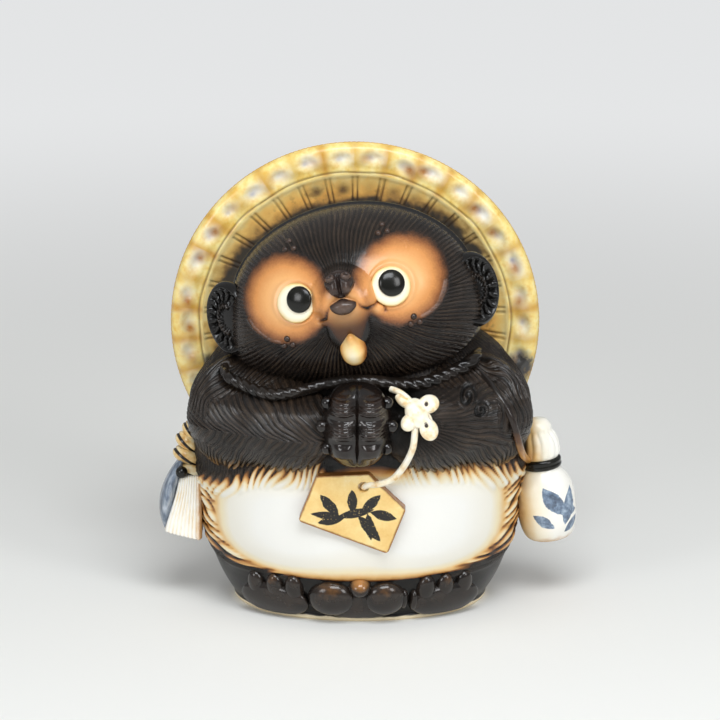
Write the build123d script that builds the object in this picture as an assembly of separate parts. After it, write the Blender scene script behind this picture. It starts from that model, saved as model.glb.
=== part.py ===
"""Glazed stoneware tanuki: a round, sitting folk figure with a straw hat behind its head, clasped paws,
a wish plaque on a cord, a sake flask and a shop ledger.

Every solid is a piece that a potter moulds by itself and lutes in place with slip before the firing.
Millimetres, +Z up. The figure looks along -Y, its own left is +X, and the origin is the middle of its
flat foot.
"""

from build123d import *
import os
from math import cos, radians, sin, sqrt

# Cast stoneware
WALL = 6.0
SEAM_Y = 0.0
BURIED = 3.0

# Trunk, an oval barrel given by its half width and half depth at a few heights
FOOT_HALF_WIDTH = 64.0
FOOT_HALF_DEPTH = 45.0
HEEL_HEIGHT = 10.0
HEEL_HALF_WIDTH = 70.5
HEEL_HALF_DEPTH = 50.5
HIP_HEIGHT = 32.0
HIP_HALF_WIDTH = 79.5
HIP_HALF_DEPTH = 57.5
BELLY_HEIGHT = 64.0
BELLY_HALF_WIDTH = 85.0
BELLY_HALF_DEPTH = 61.0
ELBOW_HEIGHT = 94.0
ELBOW_HALF_WIDTH = 88.0
ELBOW_HALF_DEPTH = 60.0
SHOULDER_HEIGHT = 112.0
SHOULDER_HALF_WIDTH = 87.5
SHOULDER_HALF_DEPTH = 55.0
NAPE_HEIGHT = 127.0
NAPE_HALF_WIDTH = 78.5
NAPE_HALF_DEPTH = 47.0
COLLAR_HEIGHT = 140.0
COLLAR_HALF_WIDTH = 66.0
COLLAR_HALF_DEPTH = 38.0
NECK_HEIGHT = 150.0
NECK_HALF_WIDTH = 46.0
NECK_HALF_DEPTH = 27.0

# Slab that closes the foot, with the hole that the slip is poured from
BASE_THICKNESS = 6.0
DRAIN_RADIUS = 9.0
DRAIN_SETBACK = 20.0

# Head: half an ellipsoid in front, and a straight wall that runs back into the hat
HEAD_X = -4.0
HEAD_Y = -18.0
HEAD_Z = 166.0
HEAD_HALF_WIDTH = 65.0
HEAD_HALF_DEPTH = 50.0
HEAD_HALF_HEIGHT = 47.0
HEAD_BACK_LENGTH = 51.0
HEAD_DRAFT = 5.0
HEAD_PITCH = -8.0
HEAD_ROLL = -11.0
HEAD_YAW = -2.5
NECK_VENT_RADIUS = 12.0

# Muzzle, nose, lip and chin, in the head's own frame
MUZZLE_HALF_WIDTH = 17.0
MUZZLE_HALF_DEPTH = 13.0
MUZZLE_HALF_HEIGHT = 18.0
MUZZLE_FORWARD = 45.0
MUZZLE_RISE = 3.0
NOSE_HALF_WIDTH = 7.5
NOSE_HALF_DEPTH = 5.5
NOSE_HALF_HEIGHT = 7.0
NOSE_RISE = 13.0
LIP_HALF_WIDTH = 6.5
LIP_HALF_DEPTH = 4.5
LIP_HALF_HEIGHT = 4.0
LIP_RISE = 2.0
CHIN_TUFT_HALF_WIDTH = 6.7
CHIN_TUFT_HALF_DEPTH = 5.0
CHIN_TUFT_HALF_HEIGHT = 9.0
CHIN_TUFT_RISE = -23.0

# Eyes: a low cream dome with a black pupil on it
EYE_OUT = 24.4
EYE_RISE = 6.5
EYE_RADIUS = 10.2
EYE_DOME = 3.0
PUPIL_RADIUS = 6.8
PUPIL_DOME = 2.4
RIGHT_PUPIL_SHIFT = 3.3
PUPIL_LIFT = 1.3

# Ears: upright shells on the sides of the head
EAR_OUT = 62.5
EAR_BACK = -10.0
RIGHT_EAR_RISE = 1.0
LEFT_EAR_RISE = -6.0
EAR_HALF_WIDTH = 15.0
EAR_HALF_DEPTH = 8.5
EAR_HALF_HEIGHT = 19.5
EAR_RIM = 4.5
EAR_SCOOP = 7.0
EAR_TURN = 38.0

# Beads of clay above the eyes and under the cheeks
BROW_BEAD_OUT = 24.0
BROW_BEAD_RISE = 32.5
CHEEK_BEAD_OUT = 32.5
CHEEK_BEAD_RISE = -14.5
BEAD_RADIUS = 1.7
BEAD_SPACING = 4.6

# Hat: a shallow straw cone that stands upright behind the head
HAT_X = -2.6
HAT_Y = 24.0
HAT_Z = 142.5
HAT_RADIUS = 96.5
HAT_EDGE = 7.0
HAT_BAND = 14.0
HAT_RIDGE = 3.0
HAT_DISH = 9.0
HAT_CONE = 34.0
HAT_THICKNESS = 15.0
DIMPLE_COUNT = 34
DIMPLE_RADIUS = 6.0
DIMPLE_DEPTH = 2.0

# Arms and clasped paws
ELBOW_OUT = 59.5
ELBOW_FORWARD = 28.0
ELBOW_RISE = 105.0
ELBOW_REACH = 29.0
ELBOW_BULGE = 26.0
ELBOW_ROUND = 25.0
FOREARM_OUT = 43.0
FOREARM_FORWARD = 45.5
FOREARM_HEIGHT = 107.0
FOREARM_HALF_LENGTH = 38.0
FOREARM_HALF_DEPTH = 20.0
FOREARM_HALF_HEIGHT = 23.0
FOREARM_TURN = 35.0
PAW_X = -1.5
PAW_HEIGHT = 113.0
PAW_FORWARD = 68.0
PALM_HALF_WIDTH = 20.0
PALM_HALF_DEPTH = 12.0
PALM_HALF_HEIGHT = 22.0
FINGER_COUNT = 3
FINGER_PITCH = 12.0
FINGER_HALF_WIDTH = 6.6
FINGER_HALF_DEPTH = 7.0
FINGER_HALF_HEIGHT = 6.6
FINGER_OUT = 8.0
FINGERTIP_RADIUS = 3.4
FINGERTIP_SPREAD = 0.88
FINGERTIP_PITCH = 11.8

# Feet, money bag and tail on the lower trunk
TOE_COUNT = 3
TOE_OUT = 34.0
TOE_PITCH = 9.0
TOE_HEIGHT = 16.0
TOE_HALF_WIDTH = 4.6
TOE_HALF_DEPTH = 5.0
TOE_HALF_HEIGHT = 7.5
SOLE_HALF_WIDTH = 17.0
SOLE_HALF_DEPTH = 5.0
SOLE_HALF_HEIGHT = 10.0
BAG_OUT = 14.0
BAG_HEIGHT = 12.5
BAG_HALF_WIDTH = 10.0
BAG_HALF_DEPTH = 6.0
BAG_HALF_HEIGHT = 8.5
KNOB_HEIGHT = 18.5
KNOB_RADIUS = 5.8
TAIL_HEIGHT = 34.0
TAIL_HALF_WIDTH = 19.0
TAIL_HALF_DEPTH = 14.0
TAIL_HALF_HEIGHT = 31.0
TAIL_LEAN = 14.0

# Wish plaque and the cord that it hangs on
PLAQUE_X = -4.0
PLAQUE_HEIGHT = 63.0
PLAQUE_WIDTH = 49.0
PLAQUE_SIDE = 26.0
PLAQUE_GABLE = 11.0
PLAQUE_THICKNESS = 3.5
PLAQUE_TURN = -21.0
PLAQUE_EDGE_RADIUS = 2.0
PLAQUE_EYELET_RADIUS = 2.9
PLAQUE_EYELET_DROP = 7.5
CORD_DIAMETER = 4.6
CORD_BEND_X = 24.0
CORD_BEND_DROP = 7.0
KNOT_X = 28.5
KNOT_RISE = 12.0
KNOT_RADIUS = 4.6
LOOP_LENGTH = 7.5
LOOP_RING_RADIUS = 3.4
LOOP_TUBE_RADIUS = 2.0
UPPER_LOOP_ANGLE = 38.0
LOWER_LOOP_ANGLE = -62.0
TAIL_END_LENGTH = 8.0
TAIL_END_ANGLE = -125.0
WRIST_STRAND_LENGTH = 16.0
WRIST_STRAND_ANGLE = 135.0

# Sake flask with a tied paper cap, and its strap
FLASK_Y = -4.0
FLASK_SEAT = 1.0
FLASK_FOOT_HEIGHT = 31.0
FLASK_FOOT_RADIUS = 11.2
FLASK_BELLY_RADIUS = 15.2
FLASK_BELLY_RISE = 21.0
FLASK_NECK_RADIUS = 8.8
FLASK_NECK_RISE = 39.0
FLASK_LEAN = -5.0
TIE_HEIGHT = 5.0
TIE_OVERHANG = 0.8
CAP_RADIUS = 10.0
CAP_SKIRT_HEIGHT = 11.0
CAP_KNOB_RADIUS = 6.6
CAP_KNOB_HEIGHT = 9.0
STRAP_RADIUS = 2.2
STRAP_TOP_OUT = 6.5
STRAP_TOP_RISE = 16.0
STRAP_BEND_OUT = 20.0

# Ledger that hangs from a knotted cord on the other hip
LEDGER_Y = -6.0
LEDGER_STANDOFF = 2.0
LEDGER_FOOT_HEIGHT = 35.0
LEDGER_HEIGHT = 32.0
LEDGER_TOP_THICKNESS = 11.0
LEDGER_FOOT_THICKNESS = 19.0
LEDGER_SEAT = 10.0
LEDGER_TOP_DEPTH = 17.0
LEDGER_FOOT_DEPTH = 24.0
LEDGER_COVER = 2.2
LEDGER_TWIST_RADIUS = 6.0
LEDGER_CORD_TURNS = 3
LEDGER_CORD_PITCH = 8.0
LEDGER_CORD_LEAN = 3.0
LEDGER_BEAD_RADIUS = 3.2

SIDES = {"left": 1, "right": -1}


# Forms shared by several pieces

def ellipsoid(half_width, half_depth, half_height):
    """Stretched ball, turned first so that no pole of it falls on a cut."""
    return scale(Rot(X=63, Y=27) * Sphere(1), by=(half_width, half_depth, half_height))


def trunk_form(inset=0):
    """The barrel from the foot to the neck, drawn in by inset for its hollow."""
    rings = [
        (0, FOOT_HALF_WIDTH, FOOT_HALF_DEPTH),
        (HEEL_HEIGHT, HEEL_HALF_WIDTH, HEEL_HALF_DEPTH),
        (HIP_HEIGHT, HIP_HALF_WIDTH, HIP_HALF_DEPTH),
        (BELLY_HEIGHT, BELLY_HALF_WIDTH, BELLY_HALF_DEPTH),
        (ELBOW_HEIGHT, ELBOW_HALF_WIDTH, ELBOW_HALF_DEPTH),
        (SHOULDER_HEIGHT, SHOULDER_HALF_WIDTH, SHOULDER_HALF_DEPTH),
        (NAPE_HEIGHT, NAPE_HALF_WIDTH, NAPE_HALF_DEPTH),
        (COLLAR_HEIGHT, COLLAR_HALF_WIDTH, COLLAR_HALF_DEPTH),
        (NECK_HEIGHT, NECK_HALF_WIDTH, NECK_HALF_DEPTH),
    ]
    return loft([Pos(0, 0, z) * Ellipse(width - inset, depth - inset) for z, width, depth in rings])


HEAD_PLACE = Pos(HEAD_X, HEAD_Y, HEAD_Z) * Rot(Z=HEAD_YAW) * Rot(Y=HEAD_ROLL) * Rot(X=HEAD_PITCH)


def head_form(inset=0):
    """The head in its own frame: a half ellipsoid face, and a drafted wall behind it."""
    length = HEAD_BACK_LENGTH / HEAD_HALF_DEPTH
    waist = 1 - HEAD_DRAFT / HEAD_HALF_WIDTH
    cheek = ThreePointArc((0, -1), (sqrt(0.5), -sqrt(0.5)), (1, 0))
    wall = Polyline((1, 0), (waist, length), (0, length), (0, -1))
    turned = revolve(make_face(cheek + wall), Axis.Y)
    return scale(turned, by=(HEAD_HALF_WIDTH - inset, HEAD_HALF_DEPTH - inset, HEAD_HALF_HEIGHT - inset))


def muzzle_form():
    return Pos(0, -MUZZLE_FORWARD, MUZZLE_RISE) * ellipsoid(
        MUZZLE_HALF_WIDTH, MUZZLE_HALF_DEPTH, MUZZLE_HALF_HEIGHT
    )


def skin_plane(form, start, direction):
    """Plane on the first skin that a line meets, with its Z out of the skin and its X level."""
    point, normal = form.find_intersection_points(Axis(start, direction))[0]
    level = Vector(0, 0, 1).cross(normal)
    return Plane(origin=point, x_dir=level, z_dir=normal)


def front_of(form, x, z):
    return skin_plane(form, (x, -2 * HAT_RADIUS, z), (0, 1, 0)).location


def side_of(form, side, y, z):
    return skin_plane(form, (side * 2 * HAT_RADIUS, y, z), (-side, 0, 0)).location.position.X


def back_of(form, x, z):
    return skin_plane(form, (x, 2 * HAT_RADIUS, z), (0, -1, 0)).location


def lute(piece, *carriers):
    """The piece with its seat cut to the skin of what carries it."""
    for carrier in carriers:
        piece = piece - carrier
    return max(piece.solids(), key=lambda solid: solid.volume)


def above_floor(piece):
    room = 4 * HAT_RADIUS
    return piece & Pos(0, 0, room / 2) * Box(room, room, room)


trunk = trunk_form()
trunk_hollow = trunk_form(WALL)
skull = head_form()
face_skin = skull + muzzle_form()
head = HEAD_PLACE * face_skin
head_hollow = HEAD_PLACE * head_form(WALL)
pieces = {}


# Trunk: front and back halves of the mould, and the slab in the foot

def trunk_pieces():
    room = 4 * HAT_RADIUS
    front_half = Pos(0, SEAM_Y - room / 2, 0) * Box(room, room, room)
    back_half = Pos(0, SEAM_Y + room / 2, 0) * Box(room, room, room)
    shell = trunk - trunk_hollow - head
    slab_band = Pos(0, 0, BASE_THICKNESS / 2) * Box(room, room, BASE_THICKNESS)
    drain = Pos(0, DRAIN_SETBACK, 0) * Cylinder(DRAIN_RADIUS, 4 * BASE_THICKNESS)
    pieces["body_front_shell"] = lute(shell & front_half)
    pieces["body_back_shell"] = lute(shell & back_half)
    pieces["base_slab"] = lute((trunk_hollow & slab_band) - drain)


# Head: face and back shells with a vent down into the trunk

def head_pieces():
    room = 4 * HEAD_HALF_WIDTH
    vent = Pos(HEAD_X, HEAD_Y, HEAD_Z - room / 2) * Cylinder(NECK_VENT_RADIUS, room)
    shell = head - head_hollow - vent
    face_half = HEAD_PLACE * Pos(0, -room / 2, 0) * Box(room, room, room)
    back_half = HEAD_PLACE * Pos(0, room / 2, 0) * Box(room, room, room)
    pieces["face_shell"] = lute(shell & face_half)
    pieces["head_back_shell"] = lute(shell & back_half)


# Hat

def hat_profile():
    """Half section of the hat: radius to the right, depth behind the rim upwards."""
    edge_round = HAT_EDGE / 2
    band_inner = HAT_RADIUS - HAT_BAND
    rim_front = (HAT_RADIUS - edge_round, 0)
    rim_back = (HAT_RADIUS - edge_round, HAT_EDGE)
    outline = Polyline(
        rim_back,
        (0, HAT_DISH + HAT_CONE - HAT_RIDGE),
        (0, HAT_DISH + HAT_CONE - HAT_RIDGE - HAT_THICKNESS),
        (band_inner - 2 * HAT_RIDGE, HAT_RIDGE),
        (band_inner - HAT_RIDGE / 2, -HAT_RIDGE / 2),
        (band_inner + HAT_RIDGE / 2, 0),
        rim_front,
    )
    edge = ThreePointArc(rim_front, (HAT_RADIUS, edge_round), rim_back)
    return make_face(outline + edge)


def hat_form():
    dish = revolve(hat_profile(), Axis.Y)
    ring = HAT_RADIUS - HAT_EDGE / 2 - (HAT_BAND - HAT_EDGE / 2) / 2
    press = DIMPLE_RADIUS - DIMPLE_DEPTH
    turns = [Rot(Y=360 / DIMPLE_COUNT * index) for index in range(DIMPLE_COUNT)]
    thumbs = [turn * Pos(ring, -press, 0) * Sphere(DIMPLE_RADIUS) for turn in turns]
    return Pos(HAT_X, HAT_Y, HAT_Z) * (dish - thumbs)


def hat_piece():
    pieces["straw_hat"] = lute(hat, head, trunk)


# Face: eyes, nose, lip, chin tuft and beads

def eye_pieces():
    for name, side in SIDES.items():
        spot = front_of(skull, side * EYE_OUT, EYE_RISE)
        white = HEAD_PLACE * spot * ellipsoid(EYE_RADIUS, EYE_RADIUS, EYE_DOME)
        shift = RIGHT_PUPIL_SHIFT if side < 0 else 0
        pupil_spot = spot * Pos(shift, PUPIL_LIFT, EYE_DOME * sqrt(1 - (PUPIL_LIFT / EYE_RADIUS) ** 2))
        pupil = HEAD_PLACE * pupil_spot * ellipsoid(PUPIL_RADIUS, PUPIL_RADIUS, PUPIL_DOME)
        pieces[f"{name}_eye_white"] = lute(white, head)
        pieces[f"{name}_pupil"] = lute(pupil, white, head)


def muzzle_pieces():
    nose_spot = HEAD_PLACE * front_of(face_skin, 0, NOSE_RISE)
    nose = nose_spot * ellipsoid(NOSE_HALF_WIDTH, NOSE_HALF_HEIGHT, NOSE_HALF_DEPTH)
    lip_spot = HEAD_PLACE * front_of(face_skin, 0, LIP_RISE)
    lip = lip_spot * ellipsoid(LIP_HALF_WIDTH, LIP_HALF_HEIGHT, LIP_HALF_DEPTH)
    tuft_spot = HEAD_PLACE * front_of(face_skin, 0, CHIN_TUFT_RISE)
    tuft = tuft_spot * ellipsoid(CHIN_TUFT_HALF_WIDTH, CHIN_TUFT_HALF_HEIGHT, CHIN_TUFT_HALF_DEPTH)
    pieces["nose"] = lute(nose, head)
    pieces["lower_lip"] = lute(lip, head, nose)
    pieces["chin_tuft"] = lute(tuft, head)


def bead_group(out, rise):
    """Three beads in a triangle on each side of the face."""
    offsets = [(-BEAD_SPACING / 2, 0), (BEAD_SPACING / 2, 0), (0, BEAD_SPACING * 3 / 4)]
    beads = []
    for side in SIDES.values():
        for across, along in offsets:
            spot = HEAD_PLACE * front_of(skull, side * out + across, rise + along)
            beads.append(lute(spot * Sphere(BEAD_RADIUS), head))
    return Compound(children=beads)


def bead_pieces():
    pieces["brow_beads"] = bead_group(BROW_BEAD_OUT, BROW_BEAD_RISE)
    pieces["cheek_beads"] = bead_group(CHEEK_BEAD_OUT, CHEEK_BEAD_RISE)


def ear_pieces():
    rises = {"left": LEFT_EAR_RISE, "right": RIGHT_EAR_RISE}
    for name, side in SIDES.items():
        place = HEAD_PLACE * Pos(side * EAR_OUT, EAR_BACK, rises[name]) * Rot(Z=side * EAR_TURN)
        shell = place * ellipsoid(EAR_HALF_WIDTH, EAR_HALF_DEPTH, EAR_HALF_HEIGHT)
        scoop = place * Pos(0, -EAR_HALF_DEPTH, 0) * ellipsoid(
            EAR_HALF_WIDTH - EAR_RIM, EAR_SCOOP, EAR_HALF_HEIGHT - EAR_RIM
        )
        pieces[f"{name}_ear"] = lute(shell, scoop, head, hat, trunk)


# Arms and paws

def arm_form(side):
    """A round elbow against the trunk, and the forearm that turns in to the paws."""
    elbow_place = Pos(side * ELBOW_OUT, -ELBOW_FORWARD, ELBOW_RISE)
    elbow = elbow_place * ellipsoid(ELBOW_REACH, ELBOW_BULGE, ELBOW_ROUND)
    wrist_turn = Pos(side * FOREARM_OUT, -FOREARM_FORWARD, FOREARM_HEIGHT) * Rot(Z=side * FOREARM_TURN)
    forearm = wrist_turn * ellipsoid(FOREARM_HALF_LENGTH, FOREARM_HALF_DEPTH, FOREARM_HALF_HEIGHT)
    return elbow + forearm


arms = {name: arm_form(side) for name, side in SIDES.items()}


def palm_form():
    palm = ellipsoid(PALM_HALF_WIDTH, PALM_HALF_DEPTH, PALM_HALF_HEIGHT)
    return Pos(PAW_X, -PAW_FORWARD, PAW_HEIGHT) * palm


def paw_form(side):
    """One hand: half of the palm with a stack of bent fingers in front."""
    room = 4 * PALM_HALF_HEIGHT
    half = Pos(PAW_X + side * room / 2, -PAW_FORWARD, PAW_HEIGHT) * Box(room, room, room)
    hand = palm_form() & half
    for index in range(FINGER_COUNT):
        height = PAW_HEIGHT + (index - (FINGER_COUNT - 1) / 2) * FINGER_PITCH
        knuckle = Pos(PAW_X + side * FINGER_OUT, -PAW_FORWARD - PALM_HALF_DEPTH * 0.75, height)
        finger = knuckle * ellipsoid(FINGER_HALF_WIDTH, FINGER_HALF_DEPTH, FINGER_HALF_HEIGHT)
        hand = hand + finger
    return hand


paws = {name: paw_form(side) for name, side in SIDES.items()}


def fingertip_group(side):
    tips = []
    for index in range(FINGER_COUNT):
        rise = (index - (FINGER_COUNT - 1) / 2) * FINGERTIP_PITCH
        palm_edge = PALM_HALF_WIDTH * sqrt(1 - (rise / PALM_HALF_HEIGHT) ** 2)
        spot = front_of(palm_form(), PAW_X + side * FINGERTIP_SPREAD * palm_edge, PAW_HEIGHT + rise)
        tip = spot * Sphere(FINGERTIP_RADIUS)
        tips.append(lute(tip, *paws.values(), *arms.values(), trunk, head))
    return Compound(children=tips)


def limb_pieces():
    for name, side in SIDES.items():
        pieces[f"{name}_arm"] = lute(arms[name], trunk, head, hat)
        pieces[f"{name}_paw"] = lute(paws[name], trunk, head, *arms.values(), pieces["chin_tuft"])
        pieces[f"{name}_fingertips"] = fingertip_group(side)


# Feet, money bag and tail

def foot_form(side):
    middle = TOE_OUT + (TOE_COUNT - 1) / 2 * TOE_PITCH
    foot = front_of(trunk, side * middle, TOE_HEIGHT - TOE_HALF_HEIGHT) * ellipsoid(
        SOLE_HALF_WIDTH, SOLE_HALF_HEIGHT, SOLE_HALF_DEPTH
    )
    for index in range(TOE_COUNT):
        spot = front_of(trunk, side * (TOE_OUT + index * TOE_PITCH), TOE_HEIGHT)
        foot = foot + spot * ellipsoid(TOE_HALF_WIDTH, TOE_HALF_HEIGHT, TOE_HALF_DEPTH)
    return above_floor(foot)


def lower_pieces():
    feet = {name: foot_form(side) for name, side in SIDES.items()}
    lobe = ellipsoid(BAG_HALF_WIDTH, BAG_HALF_HEIGHT, BAG_HALF_DEPTH)
    lobes = [front_of(trunk, side * BAG_OUT, BAG_HEIGHT) * lobe for side in SIDES.values()]
    knot_core = front_of(trunk, 0, BAG_HEIGHT) * ellipsoid(BAG_OUT, BAG_HALF_HEIGHT, BAG_HALF_DEPTH / 2)
    bag = above_floor(lobes[0] + lobes[1] + knot_core)
    knob = front_of(trunk, 0, KNOB_HEIGHT) * Sphere(KNOB_RADIUS)
    for name, foot in feet.items():
        pieces[f"{name}_foot"] = lute(foot, trunk, bag)
    pieces["money_bag"] = lute(bag, trunk)
    pieces["money_bag_knob"] = lute(knob, trunk, bag)
    tail = back_of(trunk, 0, TAIL_HEIGHT) * Rot(X=TAIL_LEAN) * ellipsoid(
        TAIL_HALF_WIDTH, TAIL_HALF_HEIGHT, TAIL_HALF_DEPTH
    )
    pieces["tail"] = lute(above_floor(tail), trunk, hat)


# Wish plaque, cord and bow

def plaque_form(place):
    half = PLAQUE_WIDTH / 2
    corners = [
        (-half, -PLAQUE_SIDE / 2),
        (half, -PLAQUE_SIDE / 2),
        (half, PLAQUE_SIDE / 2),
        (0, PLAQUE_SIDE / 2 + PLAQUE_GABLE),
        (-half, PLAQUE_SIDE / 2),
    ]
    outline = make_face(Polyline(*corners, close=True))
    board = extrude(fillet(outline.vertices(), PLAQUE_EDGE_RADIUS), PLAQUE_THICKNESS + BURIED)
    eyelet = Pos(0, PLAQUE_SIDE / 2 + PLAQUE_GABLE - PLAQUE_EYELET_DROP, 0)
    hole = eyelet * Cylinder(PLAQUE_EYELET_RADIUS, 4 * (PLAQUE_THICKNESS + BURIED))
    return place * Pos(0, 0, -BURIED) * (board - hole), place * eyelet


def strand(start, end, radius):
    """A straight round strand with ball ends."""
    line = Line(start, end)
    rod = sweep(Plane(origin=start, z_dir=line % 0) * Circle(radius), path=line)
    return rod + Pos(*start) * Sphere(radius) + Pos(*end) * Sphere(radius)


def bow_form(place):
    """Knot, two loops, a short tail and the strand to the wrist, drawn flat on the arm."""
    bow = Sphere(KNOT_RADIUS)
    for angle in (UPPER_LOOP_ANGLE, LOWER_LOOP_ANGLE):
        bow = bow + Rot(Z=angle) * Pos(LOOP_LENGTH, 0, 0) * Torus(LOOP_RING_RADIUS, LOOP_TUBE_RADIUS)
    reaches = ((TAIL_END_ANGLE, TAIL_END_LENGTH), (WRIST_STRAND_ANGLE, WRIST_STRAND_LENGTH))
    for angle, length in reaches:
        end = (length * cos(radians(angle)), length * sin(radians(angle)), 0)
        bow = bow + strand((0, 0, 0), end, CORD_DIAMETER / 2)
    return place * bow


def plaque_pieces():
    place = front_of(trunk, PLAQUE_X, PLAQUE_HEIGHT) * Rot(Z=PLAQUE_TURN)
    plaque, eyelet = plaque_form(place)
    knot = front_of(arms["left"], KNOT_X, FOREARM_HEIGHT + KNOT_RISE)
    bow = bow_form(knot)
    hands = [*paws.values(), *pieces["left_fingertips"].solids()]
    carriers = [trunk, head, *arms.values()]
    plug = eyelet * Pos(0, 0, PLAQUE_THICKNESS / 2)
    over_arm = front_of(arms["left"], CORD_BEND_X, FOREARM_HEIGHT - CORD_BEND_DROP)
    path = ThreePointArc(knot.position, over_arm.position, plug.position)
    cord = sweep(Plane(origin=path @ 0, z_dir=path % 0) * Circle(CORD_DIAMETER / 2), path=path)
    pieces["wish_plaque"] = lute(plaque, *carriers)
    pieces["cord_bow"] = lute(bow, *carriers, *hands)
    pieces["plaque_cord"] = lute(cord, *carriers, *hands, bow, plaque)


# Sake flask

def turned(curve, foot, top):
    """Solid turned about Z from a side curve that starts at the foot and ends at the top."""
    corners = [(0, top[1]), (0, foot[1]), foot]
    if top[0] > 0:
        corners.insert(0, top)
    return revolve(Plane.XZ * make_face(curve + Polyline(*corners)), Axis.Z)


def flask_place():
    """Frame of the flask's foot, with the flask's belly against the trunk's side."""
    side_skin = side_of(trunk, 1, FLASK_Y, FLASK_FOOT_HEIGHT + FLASK_BELLY_RISE)
    belly_axis = side_skin + FLASK_BELLY_RADIUS - FLASK_SEAT
    foot_axis = belly_axis - FLASK_BELLY_RISE * sin(radians(FLASK_LEAN))
    return Pos(foot_axis, FLASK_Y, FLASK_FOOT_HEIGHT) * Rot(Y=FLASK_LEAN)


def flask_pieces():
    place = flask_place()
    foot = (FLASK_FOOT_RADIUS, 0)
    neck = (FLASK_NECK_RADIUS, FLASK_NECK_RISE)
    body = turned(Spline(foot, (FLASK_BELLY_RADIUS, FLASK_BELLY_RISE), neck), foot, neck)
    cap_foot = FLASK_NECK_RISE + TIE_HEIGHT
    tie = Pos(0, 0, FLASK_NECK_RISE + TIE_HEIGHT / 2) * Cylinder(FLASK_NECK_RADIUS + TIE_OVERHANG, TIE_HEIGHT)
    rim = (FLASK_NECK_RADIUS, 0)
    fold = (CAP_KNOB_RADIUS, CAP_SKIRT_HEIGHT)
    crown = (0, CAP_SKIRT_HEIGHT + CAP_KNOB_HEIGHT)
    skirt = (CAP_RADIUS, CAP_SKIRT_HEIGHT / 2)
    knob = (CAP_KNOB_RADIUS * 0.8, CAP_SKIRT_HEIGHT + CAP_KNOB_HEIGHT * 0.7)
    cap = Pos(0, 0, cap_foot) * turned(Spline(rim, skirt, fold, knob, crown), rim, crown)
    carriers = [trunk, arms["left"]]
    pieces["flask_body"] = lute(place * body, *carriers)
    pieces["flask_tie"] = lute(place * tie, *carriers)
    pieces["flask_cap"] = lute(place * cap, *carriers)


def strap_piece():
    shoulder = front_of(arms["left"], ELBOW_OUT + STRAP_TOP_OUT, ELBOW_RISE + STRAP_TOP_RISE).position
    bend = front_of(arms["left"], ELBOW_OUT + STRAP_BEND_OUT, ELBOW_RISE).position
    neck = (flask_place() * Pos(0, 0, FLASK_NECK_RISE + TIE_HEIGHT / 2)).position
    path = ThreePointArc(shoulder, bend, neck)
    rope = sweep(Plane(origin=path @ 0, z_dir=path % 0) * Circle(STRAP_RADIUS), path=path)
    flask = [pieces["flask_body"], pieces["flask_tie"], pieces["flask_cap"]]
    pieces["flask_strap"] = lute(rope, trunk, arms["left"], head, hat, *flask)


# Ledger

def flared_block(foot_left, foot_right, top_left, top_right):
    """Block as high as the ledger, between two sloping sides."""
    foot_middle = (foot_left + foot_right) / 2
    top_middle = (top_left + top_right) / 2
    foot = Pos(foot_middle, 0, 0) * Rectangle(foot_right - foot_left, LEDGER_FOOT_DEPTH)
    top = Pos(top_middle, 0, LEDGER_HEIGHT) * Rectangle(top_right - top_left, LEDGER_TOP_DEPTH)
    return loft([foot, top], ruled=True)


def ledger_pieces():
    side_skin = side_of(trunk, -1, LEDGER_Y, LEDGER_FOOT_HEIGHT + LEDGER_HEIGHT / 2)
    place = Pos(side_skin - LEDGER_STANDOFF - LEDGER_FOOT_THICKNESS / 2, LEDGER_Y, LEDGER_FOOT_HEIGHT)
    foot_left = -LEDGER_FOOT_THICKNESS / 2
    top_left = LEDGER_FOOT_THICKNESS / 2 - LEDGER_TOP_THICKNESS
    inner = LEDGER_FOOT_THICKNESS / 2 + LEDGER_SEAT
    book = place * flared_block(foot_left, inner, top_left, inner)
    cover = place * flared_block(foot_left - LEDGER_COVER, foot_left, top_left - LEDGER_COVER, top_left)
    twists = []
    top_middle = top_left + LEDGER_TOP_THICKNESS / 2
    for index in range(LEDGER_CORD_TURNS):
        rise = LEDGER_HEIGHT + (index + 0.5) * LEDGER_CORD_PITCH
        twist = Pos(top_middle + index * LEDGER_CORD_LEAN, 0, rise)
        twists.append(place * twist * Sphere(LEDGER_TWIST_RADIUS))
    room = 4 * LEDGER_HEIGHT
    above_book = place * Pos(0, 0, LEDGER_HEIGHT + room / 2) * Box(room, room, room)
    cord = sum(twists[1:], twists[0]) & above_book
    bead = place * Pos(top_middle, -LEDGER_TOP_DEPTH / 2, LEDGER_HEIGHT) * Sphere(LEDGER_BEAD_RADIUS)
    carriers = [trunk, arms["right"]]
    pieces["ledger_pages"] = lute(book, *carriers)
    pieces["ledger_cover"] = lute(cover, *carriers)
    pieces["ledger_cord"] = lute(cord, *carriers)
    pieces["ledger_bead"] = lute(bead, book, cover, cord, *carriers)


hat = hat_form()
trunk_pieces()
head_pieces()
hat_piece()
eye_pieces()
muzzle_pieces()
bead_pieces()
ear_pieces()
limb_pieces()
lower_pieces()
plaque_pieces()
flask_pieces()
strap_piece()
ledger_pieces()

os.makedirs("parts", exist_ok=True)
for name, piece in pieces.items():
    export_step(piece, f"parts/{name}.step")
print(len(pieces), "pieces")
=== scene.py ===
"""Looks of a glazed stoneware tanuki figure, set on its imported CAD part."""
from math import cos, pi, radians, sin, sqrt

import bmesh
import bpy
import numpy as np
from mathutils import Matrix, Vector


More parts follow.
